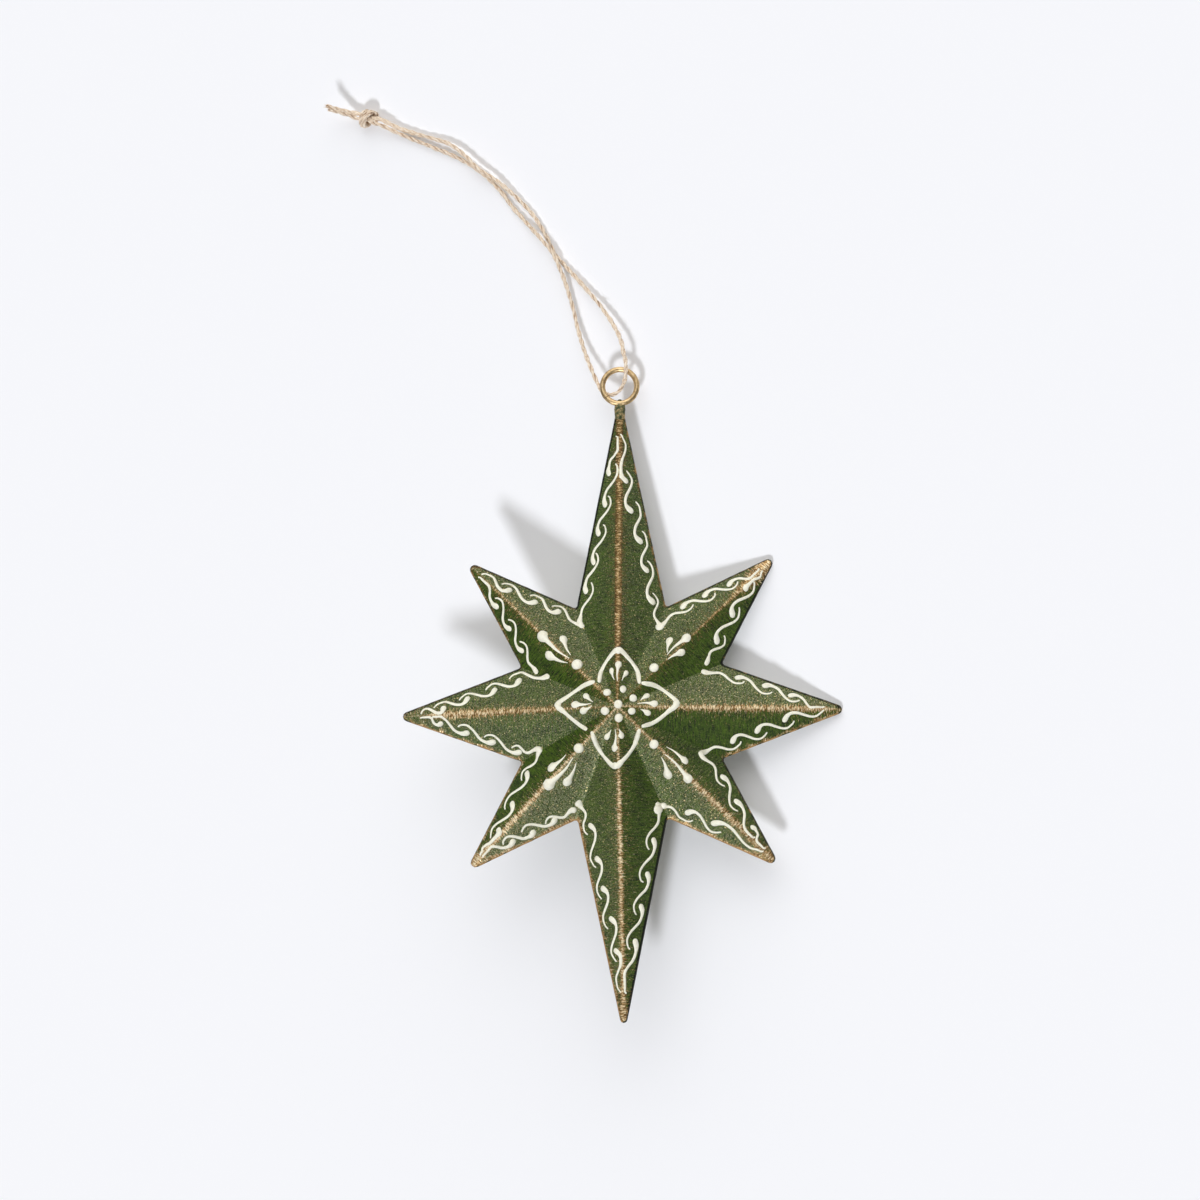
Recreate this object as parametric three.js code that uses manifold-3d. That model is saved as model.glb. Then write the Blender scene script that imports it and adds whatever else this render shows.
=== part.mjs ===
import * as THREE from 'three';
import { mergeVertices } from 'three/addons/utils/BufferGeometryUtils.js';
import Module from 'manifold-3d';

// An eight-pointed star ornament of pressed sheet iron. Two faceted half shells are soldered round their
// rim, a wire jump ring is soldered to the end of one long arm, and a loop of twine is threaded through the
// ring and knotted. All sizes are in millimetres. The star is modelled level, with its rim in the plane z = 0
// and its long arms along Y, and it is then laid on the table as it rests: on two neighbouring ridges of its
// rear half.

// Star outline: distance from the centre to each sharp corner, before the corners are rounded.
const longArmPoint = 73.8;
const sideArmPoint = 52.3;
const diagonalArmPoint = 51.0;
const diagonalArmAngle = 45;
const longNotchRadius = 26.2;
const longNotchAngle = 67;
const sideNotchRadius = 25.3;
const sideNotchAngle = 25.4;
const longTipRadius = 0.65;
const shortTipRadius = 0.9;
const notchFillet = 0.8;

// Pressed half shells.
const pressDepth = 12.3;
const sheetThickness = 0.5;
const apexRounding = 0.35;
const pressSections = [0.985, 0.9, 0.75, 0.55, 0.36, 0.2, 0.1, 0.035];
const steepFacetFactor = 1.15;

// Solder bead between the two rims.
const seamThickness = 0.5;
const seamWidth = 1.7;
const seamBulge = 0.2;
const seamClearance = 0.15;

// Jump ring at the end of the long arm.
const ringWireDiameter = 1.3;
const ringInnerDiameter = 6.7;
const ringSplitAngle = 218;
const ringSplitGap = 0.12;
const ringToTipGap = 0.6;

// Solder that holds the ring on the tip of the arm.
const neckHalfWidth = 1.2;
const neckHalfLength = 2.0;
const neckHalfThickness = 1.55;
const neckClearance = 0.2;
const neckShift = 0.1;

// Twine loop, its knot and its two tails.
const twineDiameter = 1.05;
const twineClearance = 0.3;
const strandSpacing = 1.3;
const knotLength = 3.8;
const knotDiameter = 3.9;
const knotFaceDiameter = 2.6;
const knotPlace = new THREE.Vector2(-62.5, 142.9);
const knotHeading = -17.6;
// The knot between its faces: radius as a share of its diameter, height as a share of half its length.
const knotSides = [[0.46, -0.6], [0.5, -0.15], [0.5, 0.25], [0.45, 0.65]];
const tailStrandSpacing = 1.3;
const tailReach = 7.4;
const tailRise = 4.6;
const tailDifference = 0.6;
// How a tail bends up from the table: shares of its reach and of its rise.
const tailBend = [[0.35, 0.18], [0.7, 0.58], [1, 1]];

const wasm = await Module();
wasm.setup();

const radians = THREE.MathUtils.degToRad;

// shared helpers

function polar(radius, degrees) {
  return new THREE.Vector2(
    radius * Math.cos(radians(degrees)),
    radius * Math.sin(radians(degrees)),
  );
}

// Turns the faces of a closed geometry outward if they point inward.
function facingOut(geometry) {
  const place = geometry.getAttribute('position');
  const index = geometry.getIndex().array;
  const a = new THREE.Vector3();
  const b = new THREE.Vector3();
  const c = new THREE.Vector3();
  let volume = 0;
  for (let i = 0; i < index.length; i += 3) {
    a.fromBufferAttribute(place, index[i]);
    b.fromBufferAttribute(place, index[i + 1]);
    c.fromBufferAttribute(place, index[i + 2]);
    volume += a.dot(b.cross(c)) / 6;
  }
  if (volume < 0) {
    for (let i = 0; i < index.length; i += 3) {
      const first = index[i];
      index[i] = index[i + 1];
      index[i + 1] = first;
    }
  }
  geometry.computeVertexNormals();
  return geometry;
}

// Skins a row of sections that have the same number of points. It ends in a point at each side, or closes
// on itself.
function skin(sections, startPoint = null, endPoint = null) {
  const count = sections[0].length;
  const points = sections.flat();
  const faces = [];
  const closes = startPoint === null;
  const spans = closes ? sections.length : sections.length - 1;
  for (let s = 0; s < spans; s += 1) {
    const here = s * count;
    const next = ((s + 1) % sections.length) * count;
    for (let i = 0; i < count; i += 1) {
      const j = (i + 1) % count;
      faces.push(here + i, here + j, next + j);
      faces.push(here + i, next + j, next + i);
    }
  }
  if (!closes) {
    const start = points.push(startPoint) - 1;
    const end = points.push(endPoint) - 1;
    const last = (sections.length - 1) * count;
    for (let i = 0; i < count; i += 1) {
      const j = (i + 1) % count;
      faces.push(start, j, i);
      faces.push(end, last + i, last + j);
    }
  }
  const geometry = new THREE.BufferGeometry().setFromPoints(points);
  geometry.setIndex(faces);
  return facingOut(geometry);
}

function toSolid(geometry) {
  const bare = geometry.clone();
  bare.deleteAttribute('normal');
  bare.deleteAttribute('uv');
  const merged = mergeVertices(bare, 1e-4);
  return new wasm.Manifold(new wasm.Mesh({
    numProp: 3,
    vertProperties: new Float32Array(merged.getAttribute('position').array),
    triVerts: new Uint32Array(merged.getIndex().array),
  }));
}

function fromSolid(solid) {
  const mesh = solid.getMesh();
  const geometry = new THREE.BufferGeometry();
  geometry.setAttribute('position', new THREE.BufferAttribute(new Float32Array(mesh.vertProperties), 3));
  geometry.setIndex(new THREE.BufferAttribute(new Uint32Array(mesh.triVerts), 1));
  geometry.computeVertexNormals();
  return geometry;
}

function roundSection(diameter, sides) {
  const shape = new THREE.Shape();
  for (let i = 0; i < sides; i += 1) {
    const point = polar(diameter / 2, (360 * i) / sides);
    if (i === 0) {
      shape.moveTo(point.x, point.y);
    } else {
      shape.lineTo(point.x, point.y);
    }
  }
  shape.closePath();
  return shape;
}

function tubeAlong(curve, diameter, sides, steps) {
  return new THREE.ExtrudeGeometry(roundSection(diameter, sides), {
    steps,
    bevelEnabled: false,
    extrudePath: curve,
  });
}

// star outline

// The sixteen sharp corners in order round the star, each with the radius that rounds it.
function starCorners() {
  const quarter = [
    { place: polar(sideArmPoint, 0), radius: shortTipRadius, isTip: true },
    { place: polar(sideNotchRadius, sideNotchAngle), radius: notchFillet, isTip: false },
    { place: polar(diagonalArmPoint, diagonalArmAngle), radius: shortTipRadius, isTip: true },
    { place: polar(longNotchRadius, longNotchAngle), radius: notchFillet, isTip: false },
    { place: polar(longArmPoint, 90), radius: longTipRadius, isTip: true },
  ];
  const upperLeft = quarter.slice(1, 4).reverse().map((corner) => mirrored(corner, -1, 1));
  const left = mirrored(quarter[0], -1, 1);
  const lowerLeft = quarter.slice(1, 4).map((corner) => mirrored(corner, -1, -1));
  const bottom = mirrored(quarter[4], 1, -1);
  const lowerRight = quarter.slice(1, 4).reverse().map((corner) => mirrored(corner, 1, -1));
  return [...quarter, ...upperLeft, left, ...lowerLeft, bottom, ...lowerRight];
}

function mirrored(corner, signX, signY) {
  return { ...corner, place: new THREE.Vector2(corner.place.x * signX, corner.place.y * signY) };
}

// The rounded outline at one height: the sharp star scaled about its centre, moved out by an offset and
// filleted. The fillets keep their radius up the shell, so the ridges are evenly rounded, and shrink only near
// the apex.
function starOutline(scale, offset, height) {
  const fullRoundingScale = 0.16;
  const leastRadius = 0.02;
  const arcSteps = { tip: 4, notch: 2 };
  const corners = starCorners();
  const points = [];
  corners.forEach((corner, i) => {
    const before = corners[(i + corners.length - 1) % corners.length].place;
    const after = corners[(i + 1) % corners.length].place;
    const toBefore = before.clone().sub(corner.place).normalize();
    const toAfter = after.clone().sub(corner.place).normalize();
    const halfAngle = toBefore.angleTo(toAfter) / 2;
    const inward = toBefore.clone().add(toAfter).normalize();
    const outwardSign = corner.isTip ? -1 : 1;
    const sharp = corner.place.clone().multiplyScalar(scale);
    sharp.addScaledVector(inward, (outwardSign * offset) / Math.sin(halfAngle));
    const rounding = corner.radius * Math.min(1, scale / fullRoundingScale);
    const radius = Math.max(rounding - outwardSign * offset, leastRadius);
    const centre = sharp.clone().addScaledVector(inward, radius / Math.sin(halfAngle));
    const steps = corner.isTip ? arcSteps.tip : arcSteps.notch;
    const sweep = Math.PI - 2 * halfAngle;
    const turn = corner.isTip ? 1 : -1;
    for (let k = 0; k <= steps; k += 1) {
      const angle = turn * sweep * (k / steps - 0.5);
      const spoke = inward.clone().negate().multiplyScalar(radius).rotateAround(new THREE.Vector2(), angle);
      points.push(new THREE.Vector3(centre.x + spoke.x, centre.y + spoke.y, height));
    }
  });
  return points;
}

// pressed half shells

const rimHeight = seamThickness / 2 + seamClearance;

// Sheet thickness measured straight up, on facets that fall from the apex to the notches. Square to the rim
// the facets are steeper than that run.
const facetRun = longNotchRadius * Math.cos(radians(longNotchAngle - diagonalArmAngle));
const sheetRise = sheetThickness * Math.hypot(1, pressDepth / facetRun) * steepFacetFactor;

function halfShell(side) {
  const wallScale = 1 - sheetRise / pressDepth;
  const outside = [1, ...pressSections].map((scale) => (
    starOutline(scale, 0, side * (rimHeight + pressDepth * (1 - scale)))
  ));
  const inside = [1, ...pressSections].map((scale) => (
    starOutline(scale * wallScale, 0, side * (rimHeight + (pressDepth - sheetRise) * (1 - scale)))
  ));
  const outerApex = new THREE.Vector3(0, 0, side * (rimHeight + pressDepth - apexRounding));
  const innerApex = new THREE.Vector3(0, 0, side * (rimHeight + pressDepth - sheetRise - apexRounding));
  return skin([...outside.reverse(), ...inside], outerApex, innerApex);
}

// The whole star as one plain solid, grown by a clearance, for cutting what is fitted on its tip.
function starEnvelope(clearance) {
  const lower = [...pressSections].reverse().map((scale) => (
    starOutline(scale, clearance, -(rimHeight + clearance + pressDepth * (1 - scale)))
  ));
  const upper = pressSections.map((scale) => (
    starOutline(scale, clearance, rimHeight + clearance + pressDepth * (1 - scale))
  ));
  const rims = [
    starOutline(1, clearance, -(rimHeight + clearance)),
    starOutline(1, clearance, rimHeight + clearance),
  ];
  const peak = rimHeight + clearance + pressDepth;
  return skin([...lower, ...rims, ...upper], new THREE.Vector3(0, 0, -peak), new THREE.Vector3(0, 0, peak));
}

// solder bead round the rim

function seamBead() {
  const half = seamThickness / 2;
  return skin([
    starOutline(1, -seamWidth, -half),
    starOutline(1, 0, -half),
    starOutline(1, seamBulge, 0),
    starOutline(1, 0, half),
    starOutline(1, -seamWidth, half),
  ]);
}

// jump ring and its solder

const tipEnd = Math.max(...starOutline(1, 0, 0).map((point) => point.y));
const ringRadius = (ringInnerDiameter + ringWireDiameter) / 2;
const ringCentre = tipEnd + ringToTipGap + ringWireDiameter / 2 + ringRadius;
const neckPlace = tipEnd + ringToTipGap / 2 + neckShift;

class RingWire extends THREE.Curve {
  constructor(gap) {
    super();
    this.gap = gap;
  }

  getPoint(t, target = new THREE.Vector3()) {
    const halfGap = THREE.MathUtils.radToDeg(this.gap / 2 / ringRadius);
    const angle = ringSplitAngle + halfGap + t * (360 - 2 * halfGap);
    const point = polar(ringRadius, angle);
    return target.set(point.x, point.y, 0);
  }
}

function hangingRing() {
  return tubeAlong(new RingWire(ringSplitGap), ringWireDiameter, 10, 48);
}

// A drop of solder that has run round the wire and on to the front and back of the tip.
function neckSolder() {
  const drop = new THREE.SphereGeometry(1, 24, 16);
  drop.scale(neckHalfWidth, neckHalfLength, neckHalfThickness);
  const wireSeat = tubeAlong(new RingWire(ringSplitGap), ringWireDiameter + 2 * neckClearance, 10, 48);
  wireSeat.translate(0, ringCentre - neckPlace, 0);
  const tipSeat = starEnvelope(neckClearance);
  tipSeat.translate(0, -neckPlace, 0);
  return fromSolid(toSolid(drop).subtract(toSolid(wireSeat)).subtract(toSolid(tipSeat)));
}

// how the star lies

// The rear apex and the two ridges that run from it to the right and upper right tips lie on the table.
function restingTurn() {
  const apex = new THREE.Vector3(0, 0, -(rimHeight + pressDepth));
  const side = polar(sideArmPoint, 0);
  const diagonal = polar(diagonalArmPoint, diagonalArmAngle);
  const sideRidge = new THREE.Vector3(side.x, side.y, -rimHeight).sub(apex);
  const diagonalRidge = new THREE.Vector3(diagonal.x, diagonal.y, -rimHeight).sub(apex);
  const tableNormal = sideRidge.cross(diagonalRidge).normalize();
  return new THREE.Quaternion().setFromUnitVectors(tableNormal, new THREE.Vector3(0, 0, 1));
}

// materials

const greenPaint = { color: 0x3c5530, roughness: 0.45, metalness: 0.2 };
const brass = { color: 0xc79a4b, roughness: 0.3, metalness: 1.0 };
const paintedSolder = { color: 0x5b6248, roughness: 0.5, metalness: 0.3 };
const goldRim = { color: 0x8a6a3a, roughness: 0.45, metalness: 0.5 };
const hemp = { color: 0xd2b48c, roughness: 0.9, metalness: 0.0 };

function piece(name, geometry, look) {
  const mesh = new THREE.Mesh(geometry, new THREE.MeshStandardMaterial(look));
  mesh.name = name;
  return mesh;
}

// star, laid down

const frontShell = piece('front_shell', halfShell(1), greenPaint);
const rearShell = piece('rear_shell', halfShell(-1), greenPaint);
const seam = piece('seam_solder', seamBead(), goldRim);
const ring = piece('hanging_ring', hangingRing(), brass);
ring.position.y = ringCentre;
const neck = piece('ring_solder', neckSolder(), paintedSolder);
neck.position.y = neckPlace;

const star = new THREE.Group();
star.add(frontShell, rearShell, seam, ring, neck);
star.quaternion.copy(restingTurn());
star.updateMatrixWorld(true);
star.position.z = -new THREE.Box3().setFromObject(star, true).min.z;
star.updateMatrixWorld(true);

// twine

// Where the twine passes the ring, measured from the ring's centre in the ring's own plane. It comes in over
// the wire at the upper right, dips through the eye and leaves under the wire at the left.
const eyePoints = [
  [1.3, 6.8, 1.2],
  [1.6, 4.7, 1.45],
  [1.55, 3.2, 1.4],
  [1.35, 1.6, 1.05],
  [0.8, 0.15, 0.75],
  [-0.1, -1.1, 0.3],
  [-1.5, -1.75, -0.45],
  [-3.0, -1.6, -1.2],
  [-4.3, -0.7, -1.5],
  [-5.1, 0.8, -1.5],
].map(([x, y, z]) => star.localToWorld(new THREE.Vector3(x, y + ringCentre, z)));

// The two legs lie on the table from the knot to the ring, as they were photographed, and cross twice.
const rightLeg = [
  [-54.8, 140.15, 1.0],
  [-47.6, 137.6, 0.85],
  [-42.9, 135.9, 1.2],
  [-39.0, 133.2, 1.8],
  [-35.0, 129.2, 2.1],
  [-31.2, 126.6, 1.7],
  [-25.3, 121.1, 0.7],
  [-21.7, 116.9, 0.6],
  [-18.9, 112.0, 0.6],
  [-17.1, 108.2, 0.6],
  [-14.2, 104.8, 0.7],
  [-9.9, 100.0, 1.0],
  [-5.0, 94.1, 1.8],
  [-1.3, 88.2, 2.8],
].map(([x, y, z]) => new THREE.Vector3(x, y, z));
const leftLeg = [
  [-8.7, 81.9, 2.9],
  [-11.2, 88.8, 1.9],
  [-13.2, 97.0, 1.5],
  [-15.3, 103.9, 1.9],
  [-17.2, 108.3, 2.0],
  [-19.9, 111.6, 1.7],
  [-24.0, 116.1, 0.8],
  [-26.6, 119.0, 0.6],
  [-31.1, 124.9, 0.6],
  [-35.2, 128.8, 0.65],
  [-40.0, 132.0, 0.6],
  [-46.0, 134.9, 0.7],
  [-52.8, 137.9, 0.9],
].map(([x, y, z]) => new THREE.Vector3(x, y, z));

// The knot lies on the table. The legs meet its near face and the tails its far face.
const knotCentre = new THREE.Vector3(knotPlace.x, knotPlace.y, knotDiameter / 2);
const knotAlong = new THREE.Vector3(Math.cos(radians(knotHeading)), Math.sin(radians(knotHeading)), 0);
const knotAcross = new THREE.Vector3(-knotAlong.y, knotAlong.x, 0);

function atKnot(along, across, up = 0) {
  return knotCentre.clone()
    .addScaledVector(knotAlong, along)
    .addScaledVector(knotAcross, across)
    .add(new THREE.Vector3(0, 0, up));
}

const nearFace = knotLength / 2 + twineClearance;
const legOffset = strandSpacing / 2;
const loopCurve = new THREE.CatmullRomCurve3([
  atKnot(nearFace, legOffset),
  atKnot(nearFace + twineDiameter, legOffset),
  ...rightLeg,
  ...eyePoints,
  ...leftLeg,
  atKnot(nearFace + twineDiameter, -legOffset),
  atKnot(nearFace, -legOffset),
], false, 'centripetal');

function knotSolid() {
  const half = knotLength / 2;
  const profile = [
    new THREE.Vector2(0, -half),
    new THREE.Vector2(knotFaceDiameter / 2, -half),
    ...knotSides.map(([out, up]) => new THREE.Vector2(knotDiameter * out, half * up)),
    new THREE.Vector2(knotFaceDiameter / 2, half),
    new THREE.Vector2(0, half),
  ];
  return new THREE.LatheGeometry(profile, 16);
}

// Each tail leaves the far face squarely and rises from the table to its cut end.
function tailCurve(across, reach, rise) {
  const farFace = -nearFace;
  return new THREE.CatmullRomCurve3([
    atKnot(farFace, across),
    atKnot(farFace - twineDiameter, across),
    ...tailBend.map(([out, up]) => atKnot(farFace - out * reach, across, up * rise)),
  ], false, 'centripetal');
}

const loop = piece('twine_loop', tubeAlong(loopCurve, twineDiameter, 8, 80), hemp);
const knot = piece('twine_knot', knotSolid(), hemp);
knot.position.copy(knotCentre);
knot.rotation.z = radians(knotHeading) - Math.PI / 2;
const tailOffset = tailStrandSpacing / 2;
const longTail = tailCurve(tailOffset, tailReach, tailRise);
const shortTail = tailCurve(-tailOffset, tailReach - tailDifference, tailRise - tailDifference);
const tailLong = piece('twine_tail_long', tubeAlong(longTail, twineDiameter, 8, 5), hemp);
const tailShort = piece('twine_tail_short', tubeAlong(shortTail, twineDiameter, 8, 5), hemp);

const twine = new THREE.Group();
twine.add(loop, knot, tailLong, tailShort);

// origin: under the middle of the star and ring, on the table

const group = new THREE.Group();
const footprint = new THREE.Box3().setFromObject(star, true);
const middle = footprint.getCenter(new THREE.Vector3());
star.position.x -= middle.x;
star.position.y -= middle.y;
twine.position.set(-middle.x, -middle.y, 0);
group.add(star, twine);
group.updateMatrixWorld(true);

export default group;
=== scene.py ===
import math
import random

import bpy
from mathutils import Matrix, Vector, noise
from mathutils.bvhtree import BVHTree


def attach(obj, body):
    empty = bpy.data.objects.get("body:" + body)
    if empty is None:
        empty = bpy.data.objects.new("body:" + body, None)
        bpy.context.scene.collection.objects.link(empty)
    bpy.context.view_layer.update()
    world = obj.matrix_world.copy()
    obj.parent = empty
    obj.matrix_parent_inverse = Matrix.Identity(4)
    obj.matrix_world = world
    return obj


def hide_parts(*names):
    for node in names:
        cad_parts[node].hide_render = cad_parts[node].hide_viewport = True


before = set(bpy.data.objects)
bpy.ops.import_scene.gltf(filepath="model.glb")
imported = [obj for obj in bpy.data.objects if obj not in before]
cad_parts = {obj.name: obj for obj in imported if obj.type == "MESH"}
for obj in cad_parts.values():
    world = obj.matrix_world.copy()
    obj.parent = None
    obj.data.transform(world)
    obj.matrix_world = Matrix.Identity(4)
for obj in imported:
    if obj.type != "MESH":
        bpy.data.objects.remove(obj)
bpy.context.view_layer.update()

mm = 0.001


def srgb(code):
    # hex colour as painted, turned to linear light
    parts = [int(code[i:i + 2], 16) / 255 for i in (0, 2, 4)]
    return [p / 12.92 if p <= 0.04045 else ((p + 0.055) / 1.055) ** 2.4 for p in parts] + [1.0]


def addNode(tree, kind, settings=None, inputs=None):
    # one shader node with its settings; an input is a value, a socket, or a node for its first output
    node = tree.nodes.new("ShaderNode" + kind)
    for name, value in (settings or {}).items():
        setattr(node, name, value)
    for name, value in (inputs or {}).items():
        if isinstance(value, bpy.types.Node):
            value = value.outputs[0]
        if isinstance(value, bpy.types.NodeSocket):
            tree.links.new(value, node.inputs[name])
        else:
            node.inputs[name].default_value = value
    return node


def setStops(ramp, stops):
    # a colour ramp's stops: position and hex colour
    first, *others, last = stops
    for element, (position, code) in zip(ramp.elements, (first, last)):
        element.position = position
        element.color = srgb(code)
    for position, code in others:
        ramp.elements.new(position).color = srgb(code)


def newMaterial(name):
    material = bpy.data.materials.new(name)
    material.use_nodes = True
    material.node_tree.nodes.clear()
    return material, material.node_tree


def meshPiece(name, points, faces, uvs, depths=None):
    # a mesh of its own; depths, where given, say how far out of the crease between the plies each point lies
    mesh = bpy.data.meshes.new(name)
    mesh.from_pydata(points, [], faces)
    layer = mesh.uv_layers.new(name="along")
    for loop, uv in zip(layer.data, uvs):
        loop.uv = uv
    if depths:
        mesh.attributes.new("crease", "FLOAT", "POINT")
        mesh.attributes["crease"].data.foreach_set("value", depths)
    mesh.polygons.foreach_set("use_smooth", [True] * len(mesh.polygons))
    piece = bpy.data.objects.new(name, mesh)
    bpy.context.scene.collection.objects.link(piece)
    return piece


def between(table, share):
    # the value at a share, on straight lines between the table's rows
    for (a, va), (b, vb) in zip(table, table[1:]):
        if share <= b:
            t = (share - a) / (b - a)
            return va + (vb - va) * t
    return table[-1][1]


def makeActive(piece):
    bpy.ops.object.select_all(action="DESELECT")
    piece.select_set(True)
    bpy.context.view_layer.objects.active = piece


def copyOf(source, name):
    # a free copy with its own mesh
    piece = source.copy()
    piece.data = source.data.copy()
    piece.name = piece.data.name = name
    piece.parent = None
    piece.matrix_world = Matrix.Identity(4)
    for key in list(piece.keys()):
        del piece[key]
    bpy.context.scene.collection.objects.link(piece)
    return piece


def cutFiner(piece, longestEdge, mergeWithin=0.004 * mm, mostRounds=6):
    # a CAD copy's loose triangles are merged, then its long edges are halved until none is left
    makeActive(piece)
    bpy.ops.object.mode_set(mode="EDIT")
    bpy.ops.mesh.select_mode(type="EDGE")
    bpy.ops.mesh.select_all(action="SELECT")
    bpy.ops.mesh.remove_doubles(threshold=mergeWithin)
    bpy.ops.mesh.customdata_custom_splitnormals_clear()
    bpy.ops.object.mode_set(mode="OBJECT")
    mesh = piece.data
    for turn in range(mostRounds):
        ends = [[mesh.vertices[i].co for i in edge.vertices] for edge in mesh.edges]
        tooLong = [(a - b).length > longestEdge for a, b in ends]
        if not any(tooLong):
            break
        mesh.vertices.foreach_set("select", [False] * len(mesh.vertices))
        mesh.polygons.foreach_set("select", [False] * len(mesh.polygons))
        mesh.edges.foreach_set("select", tooLong)
        bpy.ops.object.mode_set(mode="EDIT")
        bpy.ops.mesh.subdivide(number_cuts=1)
        bpy.ops.object.mode_set(mode="OBJECT")


# the camera stands at the photograph's angle, from above and a little from the right; its angles are radians
cameraPlace = {
    "target": Vector((-8.523, 22.016, 0.0)) * mm,
    "turnX": -0.04633,
    "turnY": -0.31407,
    "roll": 0.04098,
    "distance": 1333.0 * mm,
    "lens": 171.56,
    "sensorWidth": 36.0,
    "nearest": 0.05,
    "farthest": 20.0,
}

toCamera = (Matrix.Rotation(cameraPlace["roll"], 3, "Z") @ Matrix.Rotation(cameraPlace["turnY"], 3, "Y")
            @ Matrix.Rotation(cameraPlace["turnX"], 3, "X"))
camera = bpy.data.objects.new("camera", bpy.data.cameras.new("camera"))
bpy.context.scene.collection.objects.link(camera)
camera.data.lens = cameraPlace["lens"]
camera.data.sensor_width = cameraPlace["sensorWidth"]
camera.data.clip_start = cameraPlace["nearest"]
camera.data.clip_end = cameraPlace["farthest"]
backwards = toCamera.transposed() @ Vector((0, 0, 1))
camera.matrix_world = (Matrix.Translation(cameraPlace["target"] + backwards * cameraPlace["distance"])
                       @ toCamera.transposed().to_4x4())
bpy.context.scene.camera = camera
print("camera placed")


# how the star lies: its own level frame in millimetres, with the ring towards +y
starPlace = {
    "centre": Vector((0.0, -4.818667, 12.216218)),
    "normal": Vector((0.227729, 0.102538, 0.968311)),
    "ringCentre": 76.479,
}
starTurn = Vector((0, 0, 1)).rotation_difference(starPlace["normal"]).to_matrix()
starFrame = Matrix.Scale(mm, 4) @ Matrix.Translation(starPlace["centre"]) @ starTurn.to_4x4()


# the twine is a two-ply hemp loop from the knot, through the ring and back; its lengths are in mm
twine = {
    "diameter": 1.05,
    "plyRadius": 0.36,
    "plyOffset": 0.19,
    "offsetShare": 0.9,         # how far a ply lies from the middle, against plyOffset
    "offsetStray": 0.35,
    "layLength": 4.6,           # one full turn of the plies
    "unevenness": 0.2,
    "noiseGain": 1.6,           # brings the noise near a range of one
    "driftWave": (0.11, 3.1),   # each wave has a rate per mm and the lane of noise that it reads
    "swellWave": (0.23, 0.4),
    "offsetWave": (0.31, 9.0),
    "plySeedStep": 7.0,
    "plySides": 8,
    "lineStep": 0.36,
    "leastHeight": 0.02,        # above the table
}
# the loop's route, given point by point: from the knot along the right leg, through the ring and back
routeShift = Vector((0.0, starPlace["centre"].y, 0.0))
rightLeg = [
    (-54.8, 140.15, 1.0), (-47.6, 137.6, 0.85), (-42.9, 135.9, 1.2), (-39.0, 133.2, 1.8), (-35.0, 129.2, 2.1),
    (-31.2, 126.6, 1.7), (-25.3, 121.1, 0.7), (-21.7, 116.9, 0.6), (-18.9, 112.0, 0.6), (-17.1, 108.2, 0.6),
    (-14.2, 104.8, 0.7), (-9.9, 100.0, 1.0), (-5.0, 94.1, 1.8), (-1.3, 88.2, 2.8),
]
eyePoints = [    # from the ring's centre, in the ring's own plane
    (1.3, 6.8, 1.2), (1.6, 4.7, 1.45), (1.55, 3.2, 1.4), (1.35, 1.6, 1.05), (0.8, 0.15, 0.75),
    (-0.1, -1.1, 0.3), (-1.5, -1.75, -0.45), (-3.0, -1.6, -1.2), (-4.3, -0.7, -1.5), (-5.1, 0.8, -1.5),
]
leftLeg = [
    (-8.7, 81.9, 2.9), (-11.2, 88.8, 1.9), (-13.2, 97.0, 1.5), (-15.3, 103.9, 1.9), (-17.2, 108.3, 2.0),
    (-19.9, 111.6, 1.7), (-24.0, 116.1, 0.8), (-26.6, 119.0, 0.6), (-31.1, 124.9, 0.6), (-35.2, 128.8, 0.65),
    (-40.0, 132.0, 0.6), (-46.0, 134.9, 0.7), (-52.8, 137.9, 0.9),
]
# the knot: both strands wrap a little over one and a half times round their own legs
knotShape = {
    "centre": Vector((-62.5, 138.081, 1.95)),
    "heading": -17.6,           # degrees, from the tails to the legs
    "legPoints": [(0.9, 0.45), (2.2, 0.65), (3.25, 0.65)],      # the right leg's start, along and across
    "halfLength": 1.9,
    "turns": 1.6,
    "wrapRadius": 1.85,
    "coreRadius": 0.35,
    "span": 1.05,
    "slant": 0.55,
    "slantPhase": 0.8,
    "diveShare": 0.16,          # of a strand, where it leaves the core and dives back in
    "steps": 24,
    "strandShift": 0.42,
    "startAngles": (200, 215),
    "lineStep": 0.3,
    "wrapThin": 0.93,
    "coreThin": 0.95,
    # the strands' ways through the core: mm along, a share of strandShift aside, and mm up
    "coreWeave": [(2.0, 1.0, 0.0), (0.6, -0.8, 0.3), (-0.7, 0.6, -0.3), (-2.0, -1.0, 0.0)],
}
heading = math.radians(knotShape["heading"])
knotAlong = Vector((math.cos(heading), math.sin(heading), 0))
knotAcross = Vector((-knotAlong.y, knotAlong.x, 0))


def atKnot(along, across, up=0.0):
    # a point from the knot's middle, in mm
    return knotShape["centre"] + knotAlong * along + knotAcross * across + Vector((0, 0, up))


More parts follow.
